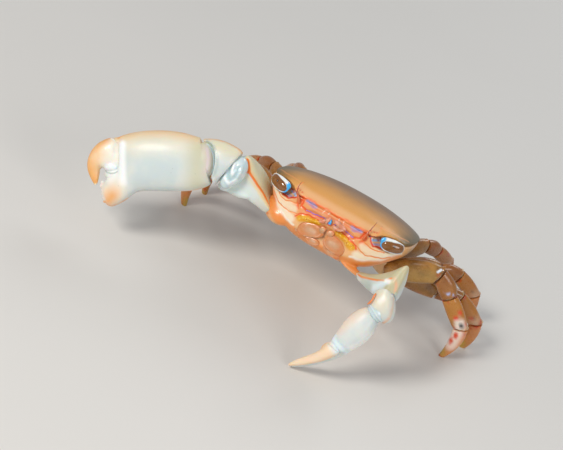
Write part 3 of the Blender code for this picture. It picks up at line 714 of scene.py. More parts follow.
# %% Grooves between the plates of the breast and of the face
rows = body_rows(places(bowl.data))
facing_down = np.clip(-body_rows(directions(bowl.data) + np.array(EYE_LINE))[:, 2] * 3 - 0.6, 0, 1)
under = np.stack([np.abs(rows[:, 0]), rows[:, 1]], axis=1)
roots = [body_rows(np.array([seam_between(root, "underside")[0]]))[0] for root in LIMB_ROOTS
         if "left" in root]
breast = [((abs(a[0] + b[0]) * 0.5 + 0.6, (a[1] + b[1]) / 2), (1.0, (a[1] + b[1]) / 2 + 0.2))
          for a, b in zip(roots, roots[1:])]
for path in breast:
    raised(bowl, 0.22, -0.12, path, under, facing_down)
raised(bowl, 0.2, -0.1, ((0, 1.5), (0, 5.0)), under, facing_down)
flat, rows, ahead = face_view(bowl)
for code, width, _, _, path in FACE_STROKES:
    if code in (RUST, EMBER, "ec8636"):
        raised(bowl, width * 0.8, -0.035, path, flat, ahead)

# %% [markdown]
# The lower shell is cream coloured, browner to the rear. It gets the strokes of the face first, then orange
# patches where the arms begin, yellow grains above the mouth, and the orange lower edge of the face. The
# grains are dots at seeded random places, since a regular row would look printed.

# %% Paint and finish of the lower shell
grains = np.random.default_rng(3)
flat, rows, ahead = face_paint(bowl)
for word in ("right", "left"):
    hip = seam_between("claw_%s_merus" % word, "underside")[0]
    spaced = places(bowl.data)
    brush(bowl, spaced, "ee8a34", 1.7, (hip,), 0.9, 0.75)
    for _ in range(9):
        spot = hip + Vector(grains.uniform(-0.7, 0.7, 3)) + Vector((0, -0.3, 0.1))
        brush(bowl, spaced, "d9541a", grains.uniform(0.16, 0.34), (spot,), 0.9, 0.8)
for path in breast:
    brush(bowl, under, "93643a", 0.14, path, 0.9, 0.6, facing_down)
brush(bowl, flat, RUST, 0.1, ((0, -0.3), (2.6, -0.3)), 0.6, 0.5, ahead)
for index in range(70):
    x, drop = grains.uniform(0.8, 2.4), grains.uniform(-0.2, 0.2)
    brush(bowl, flat, ("f4c024", "c47408", "f6e27c")[index % 3], grains.uniform(0.04, 0.1),
          ((x, -0.98 - 0.38 * x / 1.6 + drop),), 0.8, 0.8, ahead)
brush(bowl, flat, "ec8e3c", 0.8, ((0, -3.0), (2.4, -2.85), (3.6, -2.55), (4.8, -1.8), (5.6, -1.0)), 0.4, 0.9,
      np.clip(1.6 - 0.6 * rows[:, 1], 0, 1))
bowl_finish = Finish("lower_shell_cream", roughness=0.36, coat=0.4, wax=0.35, wax_depth=0.35)
place = bowl_finish.body()
y = bowl_finish.split(place)[1]
cloud = bowl_finish.noise(place, 0.8, 4.0)
grain = bowl_finish.noise(place, 10.0, 3.0)
colour = bowl_finish.mix(bowl_finish.step(y + cloud, 0.8, 4.4), "ecb67c", "c49a68")
colour = bowl_finish.mix(bowl_finish.step(grain, 0.4, 0.8) * 0.14, colour, "f4dcbc")
bowl_finish.set("Base Color", paint_over(bowl_finish, colour))
bowl_finish.set("Roughness", 0.3 + 0.14 * grain)
bowl_finish.bump(grain, 0.012)
done(bowl, bowl_finish, "shell_underside", "underside")

# %% [markdown]
# ## Eyes
#
# Each eye is a glossy brown bean that lies in its socket, with a dark spot where the facets look straight at
# the viewer. A raised white rim frames it, and the stalk's end shows as a bright blue band on its inner
# side. The rim is a torus whose points are moved onto a squarish oval and made thinner along the lower side.

# %% Eyes and their rims
eye_finish = Finish("eye_brown", roughness=0.12, coat=0.8, gloss=0.6)
place = eye_finish.body()
colour = eye_finish.mix(eye_finish.step(eye_finish.noise(place, 20.0, 2.0), 0.3, 0.7), "6e4012", "905a1e")
eye_finish.set("Base Color", paint_over(eye_finish, colour))
rim_finish = Finish("eye_rim", roughness=0.2, coat=0.6, wax=0.2, wax_depth=0.2)
rim_finish.set("Base Color", paint_over(rim_finish, rim_finish.mix(
    rim_finish.noise(rim_finish.where(), 6.0), "e9eef0", "f6f6f2")))
for side, word in ((1, "left"), (-1, "right")):
    axes = eye_axes(side)
    centre = of_body(side * EYE_AT.x, EYE_AT.y, EYE_AT.z)
    eye = smooth_skin(copy_of("eye_" + word, "eye_ball_" + word), 3)
    open_mesh(eye)
    bpy.ops.transform.rotate(value=-side * math.radians(8), orient_axis="Y", center_override=centre)
    close_mesh()
    rows = places(eye.data)
    spot = centre + axes[1] * 0.42 + axes[0] * 0.06 + axes[2] * 0.12
    brush(eye, rows, "120b08", 0.16, (spot, spot + axes[0] * 0.01), 0.7)
    done(eye, eye_finish, "eye_brown", "eye_" + word)
    bpy.ops.object.select_all(action="DESELECT")
    bpy.ops.mesh.primitive_torus_add(major_segments=72, minor_segments=12, major_radius=1, minor_radius=0.25)
    rim = bpy.context.object
    rim.name = "eye_rim_" + word
    rows = places(rim.data)
    turn = np.arctan2(rows[:, 1], rows[:, 0])
    out = np.hypot(rows[:, 0], rows[:, 1]) - 1
    above = np.clip(np.sin(turn) * 3, 0, 1)
    power = 0.85 - 0.25 * above
    along = np.sign(np.cos(turn)) * np.abs(np.cos(turn)) ** power
    rise = np.sign(np.sin(turn)) * np.abs(np.sin(turn)) ** power
    inner = np.clip(-along - 0.3, 0, 1)
    outer = np.clip(along, 0, 1)
    thick = 0.13 + 0.4 * above * (1 - outer) ** 2 + 0.26 * inner ** 0.7 - 0.06 * outer
    reach = np.stack([along * (0.88 + out * thick), rise * (0.45 + out * thick), rows[:, 2] * thick], axis=1)
    ahead_shift = 0.2 - 0.1 * along ** 2
    put_back(rim.data, np.array(centre) + reach[:, :1] * np.array(axes[0]) + reach[:, 1:2] * np.array(axes[2])
             + (reach[:, 2:] + ahead_shift[:, None]) * np.array(axes[1]))
    open_mesh(rim)
    bpy.ops.mesh.normals_make_consistent(inside=False)
    close_mesh()
    flat = reach[:, :2]
    brush(rim, flat, "3db4f4", 0.36, ((-0.86, 0.42), (-1.02, 0.0), (-0.84, -0.44)), 0.5)
    done(rim, rim_finish, "eyestalk_blue", "eyestalk_" + word)

# %% [markdown]
# ## Feelers and mouth
#
# Between the eyes lie two small folded feelers, pink as gums, with a bright blue wedge between them. Each
# fold is a short thick strand. A sculpted lump could stand for the whole bundle, but separate folds catch
# the light one by one, as the real ones do. They share a finish with the mouth plates: waxy pink with broad
# soft dents.

# %% Folded feelers and the wedge between them
gum_finish = Finish("gum_pink", roughness=0.25, coat=0.5, wax=0.5, wax_depth=0.35)
place = gum_finish.body()
colour = gum_finish.mix(gum_finish.step(gum_finish.noise(place, 3.0, 4.0), 0.35, 0.7), "d98a66", "efb098")
gum_finish.set("Base Color", paint_over(gum_finish, colour))
gum_finish.bump(gum_finish.noise(place, 4.0, 4.0), 0.07, 0.7)
FOLDS = {
    "left": ((((0.2, -0.82, -0.36), (0.45, -0.92, -0.42), (0.8, -0.95, -0.52), (1.4, -0.84, -0.6)),
              (0.1, 0.2, 0.23, 0.1)),
             (((0.3, -0.86, -0.72), (0.5, -0.94, -0.88), (0.85, -0.92, -0.84), (1.3, -0.82, -0.66)),
              (0.1, 0.17, 0.17, 0.07)),
             (((0.62, -0.84, -0.24), (0.75, -0.94, -0.4), (0.7, -0.96, -0.66), (0.48, -0.88, -0.92)),
              (0.07, 0.14, 0.15, 0.08))),
    "right": ((((-0.1, -0.82, -0.32), (-0.2, -0.92, -0.5), (-0.26, -0.95, -0.72), (-0.2, -0.86, -0.95)),
               (0.1, 0.19, 0.2, 0.1)),
              (((-0.3, -0.84, -0.6), (-0.42, -0.93, -0.74), (-0.55, -0.92, -0.92), (-0.85, -0.82, -1.02)),
               (0.1, 0.18, 0.17, 0.08))),
}
for word, paths in FOLDS.items():
    folds = [strand("fold", [of_body(*point) for point in path], radii, level=2) for path, radii in paths]
    done(joined("antennule_folds_" + word, folds), gum_finish, "feeler_red", "antennule_" + word)

wedge = strand("wedge", [of_body(0, -0.84, z) for z in (-0.42, -0.58, -0.8, -0.96)], (0.04, 0.1, 0.17, 0.05))
rows = body_rows(places(wedge.data))
paint_on(wedge, rows[:, 2:],
         ("3fb4f6", 0.7, ((-0.62,),), 0.2),
         ("e0301c", 0.16, ((-0.93,),), 0.4))
done(wedge, gum_finish, "eyestalk_blue")

# %% [markdown]
# The long feelers stand up beside the eyes, orange at their thick base and dark red where they end as a
# thread. A tapered cone would look like a pin, so each one is a strand with a slight bow.

# %% Long feelers
thread_finish = Finish("feeler_red", roughness=0.35, coat=0.3, wax=0.3, wax_depth=0.2)
place = thread_finish.body()
z = thread_finish.split(place)[2]
thread_finish.set("Base Color", thread_finish.mix(thread_finish.step(z, 0.3, -0.3), "9c4628", "dc7440"))
thread_finish.bump(thread_finish.noise(place, 12.0, 2.0), 0.02)
LONG_FEELERS = {
    "left": ((2.72, -0.66, -0.62), (2.8, -0.86, -0.42), (2.86, -0.92, -0.12), (2.9, -0.9, 0.06),
             (2.95, -0.84, 0.3), (3.04, -0.74, 0.75), (3.12, -0.62, 1.12)),
    "right": ((-2.74, -0.64, -0.62), (-2.9, -0.82, -0.4), (-3.1, -0.9, -0.1), (-3.26, -0.88, 0.08),
              (-3.38, -0.84, 0.3), (-3.42, -0.76, 0.62), (-3.34, -0.64, 0.98)),
}
for word, path in LONG_FEELERS.items():
    feeler = strand("antenna_thread_" + word, [of_body(*point) for point in path],
                    (0.11, 0.14, 0.11, 0.06, 0.04, 0.028, 0.012), level=2)
    done(feeler, thread_finish, "feeler_red", "antenna_" + word)


# %% [markdown]
# Four plates on each side close the mouth like shutters. Each is a small pillow: a disc made squarish and
# uneven, extruded, and inset and pushed forward three times, so that its field stands up a little within its
# edge. Every plate is painted alone, because the paint of one would run over the next.

# %% Mouth plates
def pillow(name, centre, reach, thick, tilt, squareness=2.4):
    """A flat plate with rounded, uneven corners and a raised field, facing forward out of the body frame."""
    inset = min(0.16, 0.3 * min(reach))
    bpy.ops.object.select_all(action="DESELECT")
    bpy.ops.mesh.primitive_circle_add(vertices=28, radius=1, fill_type="NGON")
    made = bpy.context.object
    made.name = name
    for point in made.data.vertices:
        c, s = point.co.x, point.co.y
        power = 2 / squareness
        turn = math.atan2(s, c)
        uneven = 1 + 0.05 * math.sin(2 * turn + 4 * centre[0]) + 0.05 * math.sin(3 * turn + 5 * centre[2])
        x = math.copysign(abs(c) ** power, c) * reach[0] * uneven
        z = math.copysign(abs(s) ** power, s) * reach[1] * uneven
        point.co = (x * math.cos(tilt) - z * math.sin(tilt), 0, x * math.sin(tilt) + z * math.cos(tilt))
    open_mesh(made, "FACE")
    bpy.ops.mesh.extrude_region_move(TRANSFORM_OT_translate={"value": (0, -thick, 0)})
    bpy.ops.mesh.inset(thickness=inset * 0.6)
    bpy.ops.transform.translate(value=(0, -thick * 0.4, 0))
    bpy.ops.mesh.inset(thickness=inset * 0.7)
    bpy.ops.transform.translate(value=(0, -thick * 0.2, 0))
    bpy.ops.mesh.inset(thickness=inset)
    bpy.ops.transform.translate(value=(0, -thick * 0.2, 0))
    bpy.ops.mesh.select_all(action="SELECT")
    bpy.ops.mesh.normals_make_consistent(inside=False)
    close_mesh()
    apply_modifier(made, "SUBSURF", levels=2, render_levels=2)
    rows = places(made.data)
    put_back(made.data, np.array([of_body(*(Vector(centre) + Vector(row))) for row in rows]))
    return made


PLATES = {
    # centre (x outwards), half sizes, thickness, tilt in degrees
    "left": (((0.98, -0.46, -2.12), (0.98, 0.58), 0.09, -10), ((0.36, -0.5, -1.46), (0.3, 0.26), 0.09, 12),
             ((1.05, -0.34, -2.74), (0.78, 0.24), 0.08, -8), ((2.08, -0.36, -2.1), (0.24, 0.42), 0.08, -20)),
    "right": (((1.12, -0.5, -2.02), (1.0, 0.58), 0.09, -20), ((0.3, -0.52, -1.5), (0.26, 0.28), 0.09, 16),
              ((0.62, -0.38, -2.68), (0.62, 0.26), 0.08, -8), ((2.16, -0.36, -2.3), (0.24, 0.36), 0.08, -24)),
}
for side, word in ((1, "left"), (-1, "right")):
    plates = []
    for (x, y, z), reach, thick, tilt in PLATES[word]:
        plate = pillow("plate", (side * x, y, z), reach, thick, side * math.radians(tilt))
        rows = body_rows(places(plate.data))
        flat = np.stack([side * rows[:, 0] - x, rows[:, 2] - z], axis=1)
        c, s = math.cos(math.radians(tilt)), math.sin(math.radians(tilt))
        ring = []
        for turn in range(25):
            along, rise = (0.88 * reach[0] * math.cos(math.tau * turn / 24),
                           0.88 * reach[1] * math.sin(math.tau * turn / 24))
            ring.append((along * c - rise * s, along * s + rise * c))
        paint_on(plate, flat,
                 ("d48a4e", 9.0, ((0, 0),), 0.1, 0.85),
                 ("d8671e", 0.1, [(u * 1.12, v * 1.12) for u, v in ring], 0.9, 0.45),
                 ("d0a684", reach[1] * 0.8, ((-reach[0] * 0.3, 0), (reach[0] * 0.2, 0)), 1.0, 0.85),
                 ("f4dcc4", 0.045, ring[13:21], 1.4, 0.4),
                 ("e9c8a8", reach[1] * 0.3,
                  ((-reach[0] * 0.35, reach[1] * 0.15), (0, reach[1] * 0.2)), 1.2, 0.5))
        plates.append(plate)
    done(joined("mouth_plates_" + word, plates), gum_finish, "mouthpart_pink", "maxilliped_" + word)

# %% [markdown]
# ## Tail flap
#
# A crab carries its tail folded flat under its body, as a flap of broad rings. The flap is a smooth skin
# over its solid, remeshed so that it has points enough, and a shallow groove is pressed and painted between
# the rings. Separate rings would need overlaps that nobody sees. The weld that does the remesh also melts
# lumps of clay into a piece, which the hands will need.

# %% Welding
def weld(piece, clay=(), voxel=0.07, rounds=4):
    """Clay is joined to a piece, and a remesh and some smoothing melt it all together."""
    if clay:
        alone(piece)
        for lump in clay:
            lump.select_set(True)
        bpy.ops.object.join()
        apply_modifier(piece, "REMESH", mode="VOXEL", voxel_size=voxel)
    apply_modifier(piece, "REMESH", mode="VOXEL", voxel_size=voxel)
    apply_modifier(piece, "SMOOTH", factor=0.5, iterations=rounds)
    return piece


# %% Tail flap
flap = weld(smooth_skin(copy_of("abdomen", "tail_flap"), 2), voxel=0.06)
rows = body_rows(places(flap.data))
first, last = rows[:, 1].min() + 0.5, rows[:, 1].max()
for step in range(6):
    y = first + (last - first) * step / 6
    raised(flap, 0.14, -0.07, ((-4, y + 0.25), (0, y), (4, y + 0.25)), rows[:, :2])
    brush(flap, rows[:, :2], "9a6c40", 0.1, ((-4, y + 0.25), (0, y), (4, y + 0.25)), 0.8, 0.6)
done(flap, bowl_finish, "shell_underside", "abdomen")

# %% [markdown]
# ## Walking legs
#
# Each leg has four plates, flat as blades and waxy amber. They are smooth skins over the solids. Between two
# plates the real crab has a soft pale skin, folded so that the joint can bend: here it is an egg with folds
# that fills the gap, a little smaller than the rims that hold it.

# %% Finishes of the legs and of their joints
leg_finish = Finish("leg_amber", coat=0.5, wax=0.35, wax_depth=0.6)
place = leg_finish.where()
cloud = leg_finish.noise(place, 0.9, 4.0)
colour = leg_finish.mix(leg_finish.step(cloud, 0.3, 0.7), "86561e", "b8823a")
blotches = leg_finish.step(leg_finish.noise(place, 4.0, 4.0), 0.55, 0.75)
colour = leg_finish.mix(blotches * 0.4, colour, "cf9a5c")
leg_finish.set("Base Color", paint_over(leg_finish, colour))
leg_finish.set("Roughness", 0.22 + 0.14 * leg_finish.noise(place, 8.0))
leg_finish.bump(leg_finish.noise(place, 7.0, 3.0), 0.02)
joint_finish = Finish("joint_skin", roughness=0.25, coat=0.5, wax=0.5, wax_depth=0.5)
cloud = joint_finish.noise(joint_finish.where(), 3.0)
joint_finish.set("Base Color", joint_finish.mix(joint_finish.step(cloud, 0.3, 0.7), "b98f62", "dcc4a4"))

# %% [markdown]
# Every plate of a leg gets spots at seeded random places, and the front left leg, which is seen best, gets
# marks of its own on top. Each plate also has its own colour: olive towards the knee, brown after it, pale
# at the end of the third plate, and orange on the last, with a yellow tip.

# %% Marks of the legs
SEGMENTS = ("merus", "carpus", "propodus", "dactylus")
SPOT_COUNTS = {"merus": 5, "carpus": 4, "propodus": 10, "dactylus": 9}
SPOTS = np.random.default_rng(7)
MARKS = (
    # the marks of the left front leg: node, colour, width, path
    ("leg_left_1_merus", "dfe9f2", 0.2, ((10.83, 0.22, 7.01), (10.95, 0.38, 7.21))),
    ("leg_left_1_carpus", "b9c6f0", 0.13, ((11.9, 0.44, 5.5), (12.24, 0.52, 5.6), (12.62, 0.67, 5.7))),
    ("leg_left_1_propodus", "ecdccf", 0.8, ((13.95, 1.0, 3.6), (14.1, 1.06, 3.3))),
    ("leg_left_1_propodus", "dc3f08", 0.3, ((13.54, 0.88, 3.8), (13.58, 0.88, 3.9))),
    ("leg_left_1_propodus", "dc3f08", 0.3, ((13.68, 0.97, 4.3), (13.72, 0.97, 4.4))),
    ("leg_left_1_propodus", "26262a", 0.3, ((14.14, 1.08, 3.42), (14.18, 1.08, 3.55))),
    ("leg_left_1_dactylus", "f0d4c2", 1.0, ((14.1, 1.15, 2.6), (14.05, 1.15, 1.4))),
    ("leg_left_1_dactylus", "dc4410", 0.36, ((14.14, 1.11, 2.34), (14.1, 1.11, 2.46))),
    ("leg_left_1_dactylus", "dc4410", 0.38, ((13.97, 1.12, 1.68), (13.92, 1.12, 1.82))),
)

# %% Skins, joints and paint of all eight legs
def pleated(name, centre, axes, radii, segments=24, rings=18):
    """A joint skin: an egg with folds that run round its first axis."""
    made = egg(name, centre, axes, radii, segments, rings)
    rows = places(made.data) - np.array(centre)
    along = rows @ np.array(axes[0]) / radii[0]
    fold = 1 + 0.06 * np.cos(along * 9)
    put_back(made.data, np.array(centre) + rows * fold[:, None])
    return made


for word in ("left", "right"):
    for number in range(1, 5):
        names = ["leg_%s_%d_%s" % (word, number, segment) for segment in SEGMENTS]
        seams = []
        for near, far in zip(["underside"] + names, names):
            if near == "underside":
                middle, across, wide, axes = seam_between(far, near)
            else:
                middle, across, wide, axes = seam_between(near, far)
            joint = pleated("joint_" + far, middle, (across, *axes), (0.3, wide[0] * 0.64, wide[1] * 0.7))
            done(joint, joint_finish, "leg_amber")
            seams.append((middle, max(wide)))
        for index, (segment, name) in enumerate(zip(SEGMENTS, names)):
            skin = smooth_skin(copy_of(name, name + "_skin"), 3 if segment == "merus" and number < 2 else 2)
            rows = places(skin.data)
            start, reach = seams[index]
            if index < 3:
                end = seams[index + 1][0]
            else:
                end = Vector(rows[np.argmax(np.linalg.norm(rows - np.array(start), axis=1))])
            if segment == "merus":
                brush(skin, rows, "94853f", reach * 1.5,
                      (start.lerp(end, 0.5), start.lerp(end, 0.9)), 0.9, 0.55)
            if segment == "carpus":
                brush(skin, rows, "96581f", 20.0, (start,), 0.1, 0.6)
            if segment == "propodus":
                paint_on(skin, rows,
                         ("c07c24", 20.0, (start,), 0.1, 0.7),
                         ("e2c8b0", reach * 1.5, (end,), 0.9, 0.7),
                         ("3c3a38", 0.22, (end.lerp(start, 0.2) + Vector((0.2, -0.4, 0.1)),), 0.9, 0.6))
            if segment == "dactylus":
                paint_on(skin, rows,
                         ("da8c4c", 20.0, (start,), 0.1, 0.85),
                         ("b5a03c", 0.7, (end, end.lerp(start, 0.15)), 0.9, 0.9))
            if segment != "merus":
                brush(skin, rows, "d8dcdc" if segment == "propodus" else "d9a884", 0.2, (start,), 6.0, 0.35)
            for _ in range(SPOT_COUNTS[segment]):
                spot = rows[int(SPOTS.integers(len(rows)))]
                brush(skin, rows, "c23c12" if segment in ("propodus", "dactylus") else "a85a24",
                      SPOTS.uniform(0.14, 0.4), (spot,), 0.7, 0.9)
            if number > 1:
                brush(skin, rows, "8e5018", 20.0, (start,), 0.1, 0.1 * number)
            for node, code, width, path in MARKS:
                if node == name:
                    brush(skin, rows, code, width, path, 0.5, 1.0)
            done(skin, leg_finish, "leg_amber", name)

# %% [markdown]
# ## Arms and hands
#
# The big right hand is a smooth porcelain box with a peach edge and an orange finger. Its shape comes from
# the frame, and what is added is what a modeller would press on with clay: the round hinge of the finger,
# the ball of the wrist, the folded skin of the elbow. Clay and plate are joined and remeshed finely, so that
# they melt together. Everything is placed in the flat plane of the hand: u runs from wrist to finger tip, v
# up, w outwards.

# %% Flat frames of the hands, and clay
class Sheet:
    """A flat working plane at a hand: u along it, v up its height, w out of its broad face."""

    def __init__(self, origin, along, up):
        self.origin = Vector(origin)
        self.u = Vector(along).normalized()
        self.v = (Vector(up) - Vector(up).dot(self.u) * self.u).normalized()
        self.w = self.v.cross(self.u)

    def at(self, u, v, w=0.0):
        return self.origin + u * self.u + v * self.v + w * self.w

    def rows(self, rows):
        return (rows - np.array(self.origin)) @ np.array((self.u, self.v, self.w)).T

    def egg(self, name, centre, radii, turn=0.0):
        c, s = math.cos(turn), math.sin(turn)
        return egg(name, self.at(*centre), (self.u * c + self.v * s, self.v * c - self.u * s, self.w), radii)


RIGHT_HAND = Sheet((-7.82, -4.8, 8.39), (-0.868, -0.300, -0.396), (-0.488, 0.364, 0.794))
LEFT_HAND = Sheet((8.84, -8.1, 6.2), (-0.479, -0.353, -0.803), (-0.56, 0.2, 0.25))

# %% [markdown]
# The palm ends in the fixed finger, with six small teeth along its edge. The teeth, the hinge and the ball
# of the wrist are eggs that the weld melts in. The paint goes from broad to fine: cream above and at the
# wrist, a white band behind the fingers, then the peach and orange edges, and round the wrist ball a thin
# white arc of painted highlight with a teal arc of painted shade outside it.

# %% Shape of the right hand
TEETH = ((8.0, -1.58, 0.16), (8.1, -1.85, 0.14), (7.97, -2.15, 0.15), (8.0, -2.45, 0.14), (7.91, -2.76, 0.14),
         (7.86, -3.05, 0.12))              # u, v and size
palm = weld(smooth_skin(copy_of("claw_right_palm", "palm_right"), 3),
            [RIGHT_HAND.egg("hinge", (7.1, -0.88, 0.0), (0.78, 0.62, 0.56)),
             RIGHT_HAND.egg("knuckle", (6.9, 1.4, 0.0), (0.5, 0.42, 0.5)),
             RIGHT_HAND.egg("wrist_ball", (0.3, 0.02, 0.22), (0.95, 1.38, 0.86)),
             *[RIGHT_HAND.egg("tooth", (u, v, 0.03), (size * 1.2, size * 0.8, size * 1.1))
               for u, v, size in TEETH]], voxel=0.055)

# %% Paint of the right hand
rows = RIGHT_HAND.rows(places(palm.data))
flat = rows[:, :2]
paint_on(palm, flat,
         ("e8ddc2", 2.2, ((0.6, 1.6), (3.0, 1.9), (5.6, 1.7)), 1.0, 0.7),
         ("d0ccaa", 1.5, ((0.4, 1.6), (0.6, 0.0), (0.7, -1.6)), 1.0, 0.7),
         ("f0cc9c", 0.9,
          ((0.3, 1.9), (1.4, 2.1), (3.0, 2.35), (5.0, 2.3), (6.3, 2.0), (6.8, 1.75)), 1.0, 0.9),
         ("efa860", 0.16,
          ((0.3, 1.82), (1.4, 2.08), (2.6, 2.3), (4.0, 2.38), (5.3, 2.28), (6.2, 2.06), (6.75, 1.76)),
          1.0, 0.8),
         ("fcffff", 0.62, ((6.4, 1.2), (6.4, 0.0), (6.35, -1.6)), 0.7, 0.95),
         ("f3f6f0", 0.9, ((6.9, -1.1), (7.3, -1.2)), 0.6, 0.9),
         ("f4e2c8", 1.3, ((6.9, -2.2), (7.4, -2.4)), 0.8, 0.9),
         ("eea54c", 0.9, ((7.2, -2.65), (7.45, -2.95)), 1.4, 0.85),
         ("f0a04a", 0.2, ((6.1, -2.92), (6.7, -3.3), (7.3, -3.5), (7.7, -3.4), (7.95, -2.9)), 0.9, 0.9),
         ("f4bf98", 0.14,
          ((0.4, -2.1), (1.0, -2.26), (2.2, -2.36), (3.6, -2.35), (4.9, -2.33), (5.4, -2.44), (6.1, -2.92)),
          1.0, 0.9),
         ("f6e6dc", 0.26, ((8.06, -1.6), (8.16, -1.97), (8.0, -2.57), (7.9, -2.87)), 0.8, 0.9))
ball = (rows[:, 2] > 0.2).astype(float)
paint_on(palm, flat,
         ("d8cfc0", 0.7, ((0.0, 1.0), (-0.2, 0.3), (-0.15, -0.5), (0.0, -1.0)), 0.6, 0.85, ball),
         ("e2d2d4", 0.18, ((-0.05, 0.9), (-0.15, 0.2), (-0.02, -0.8)), 0.8, 0.8, ball),
         # painted shade: a teal line where the ball sinks into the wrist socket
         ("86a4a6", 0.08,
          ((0.1, 1.5), (-0.52, 1.05), (-0.78, 0.35), (-0.76, -0.5), (-0.6, -0.95)), 0.7, 0.9, ball),
         # painted highlight: a white arc along the ball
         ("ecfdff", 0.17,
          ((0.0, 1.35), (-0.42, 0.95), (-0.62, 0.3), (-0.6, -0.5), (-0.5, -0.85)), 0.6, 1.0, ball),
         ("a9b9b0", 0.1, ((6.8, -0.8), (7.0, -0.9), (7.3, -0.94), (7.6, -0.86), (7.85, -0.6)), 0.9, 0.8))

# %% Porcelain finish
palm_finish = Finish("claw_porcelain", coat=0.08, wax=0.4, wax_depth=0.5, gloss=0.4)
place = palm_finish.where()
cloud = palm_finish.noise(place, 0.5, 4.0)
specks = palm_finish.step(palm_finish.cells(place, 1.1), 0.055, 0.03)
colour = palm_finish.mix(palm_finish.step(cloud, 0.3, 0.7), "ced9d8", "dfe2dc")
colour = palm_finish.mix(specks * 0.25, paint_over(palm_finish, colour), "8d8a72")
palm_finish.set("Base Color", colour)
palm_finish.set("Roughness", 0.34 + 0.1 * palm_finish.noise(place, 7.0, 3.0))
palm_finish.bump(palm_finish.noise(place, 12.0, 3.0), 0.008)
done(palm, palm_finish, "claw_cream", "claw_right_palm")

# %% [markdown]
# The moving finger curves down over the fixed one, cream at its hinge and orange along its outer curve. Its
# hinge lobe and its root are clay too, so that it grows out of the palm with no gap.

# %% Right finger
finger = weld(smooth_skin(copy_of("claw_right_finger", "finger_right"), 3),
              [RIGHT_HAND.egg("hinge_lobe", (7.28, -0.42, 0.06), (0.64, 0.46, 0.66)),
               RIGHT_HAND.egg("finger_root", (7.0, 0.2, 0.0), (0.75, 0.98, 0.74)),
               RIGHT_HAND.egg("finger_root", (6.95, 1.0, 0.0), (0.6, 0.68, 0.6))])
rows = RIGHT_HAND.rows(places(finger.data))
flat = rows[:, :2]
paint_on(finger, flat,
         ("f3f1e6", 1.5, ((7.0, 0.9), (7.1, -0.3)), 0.9, 0.9),
         ("efae64", 0.95,
          ((7.9, 1.75), (8.7, 1.35), (9.3, 0.4), (9.3, -0.5), (8.95, -1.2), (8.6, -1.6)), 0.9, 0.95),
         ("ec9440", 0.16, ((7.2, 1.82), (8.0, 1.68), (8.65, 1.2), (9.12, 0.36)), 0.9, 0.9),
         ("eef6f6", 0.7, ((7.0, -0.5), (7.6, -0.5)), 0.9, 0.95),
         ("fff8ea", 0.3, ((8.5, -1.84),), 0.6, 0.95),
         ("fffaf0", 0.1, ((6.85, 1.45), (7.3, 1.72)), 0.8, 0.8))
finger_finish = Finish("finger_orange", coat=0.15, wax=0.4, wax_depth=0.5)
place = finger_finish.where()
cloud = finger_finish.noise(place, 0.8, 4.0)
finger_finish.set("Base Color", paint_over(finger_finish, finger_finish.mix(
    finger_finish.step(cloud, 0.3, 0.7), "f0c48e", "f5d8b2")))
finger_finish.set("Roughness", 0.34 + 0.1 * finger_finish.noise(place, 7.0, 3.0))
finger_finish.bump(finger_finish.noise(place, 12.0, 3.0), 0.008)
done(finger, finger_finish, "finger_orange", "claw_right_finger")

# %% [markdown]
# The wrist segment holds the ball of the palm in a round socket, which is cut last with a fine egg, so that
# its edge stays crisp; a grey-blue arc of painted shade runs along that edge. At the elbow a silvery skin
# bulges out between two plates. It is two eggs welded together, with folds raised and pressed along paths;
# white on the raised folds is painted highlight, and grey-blue in the pressed groove is painted shade.

# %% Right wrist segment
carpus = weld(smooth_skin(copy_of("claw_right_carpus", "carpus_right"), 3), voxel=0.06, rounds=6)
socket = egg("wrist_socket", RIGHT_HAND.at(0.22, 0.02, 0.75), (RIGHT_HAND.u, RIGHT_HAND.v, RIGHT_HAND.w),
             (1.06, 1.5, 0.85), 96, 64)
cut_out(carpus, [socket])
rows = RIGHT_HAND.rows(places(carpus.data))
flat = rows[:, :2]
paint_on(carpus, flat,
         ("e4dcbc", 1.2, ((0.2, 1.3), (-1.0, 1.2), (-2.4, 0.7)), 0.9, 0.85),
         ("efb070", 0.2, ((0.4, 1.68), (-0.5, 1.7), (-1.45, 1.46), (-2.3, 1.0), (-2.8, 0.4)), 0.9, 0.85),
         # painted shade: a grey-blue arc along the rim of the socket
         ("b4c2c0", 0.24, ((0.0, 1.5), (-0.6, 1.0), (-0.86, 0.3), (-0.84, -0.5), (-0.6, -1.1)), 0.7, 0.7),
         ("eef4f2", 0.4, ((-2.9, 0.3), (-2.0, -0.5), (-1.2, -1.2)), 0.8, 0.8))
done(carpus, palm_finish, "claw_cream", "claw_right_carpus")

# %% Skin of the right elbow
silver_finish = Finish("joint_silver", roughness=0.2, coat=0.5, wax=0.3, wax_depth=0.3)
place = silver_finish.where()
silver_finish.set("Base Color", paint_over(silver_finish, silver_finish.mix(
    silver_finish.noise(place, 1.6, 3.0), "b4ced2", "eef8f8")))
silver_finish.bump(silver_finish.noise(place, 5.0, 2.0), 0.02, 0.5)
bulge = weld(RIGHT_HAND.egg("elbow_skin_right", (-2.1, -0.75, -0.05), (1.2, 0.82, 0.82), math.radians(122)),
             [RIGHT_HAND.egg("fold", (-1.52, -1.42, 0.1), (0.72, 0.55, 0.6), math.radians(125))], voxel=0.05)
for width, height, path in (
        (0.32, 0.08, ((-1.55, -0.3), (-1.3, -1.2), (-1.65, -1.75), (-2.2, -1.5), (-2.7, -0.6), (-2.8, 0.0))),
        (0.26, -0.07, ((-1.85, -0.3), (-1.6, -1.05), (-1.8, -1.4), (-2.1, -1.2), (-2.45, -0.5))),
        (0.22, 0.05, ((-2.1, 0.1), (-1.9, -0.7), (-1.95, -1.0))),
        (0.18, -0.05, ((-2.45, 0.2), (-2.2, -0.5)))):
    raised(bulge, width, height, [RIGHT_HAND.at(u, v, 0.72) for u, v in path])
flat = RIGHT_HAND.rows(places(bulge.data))[:, :2]
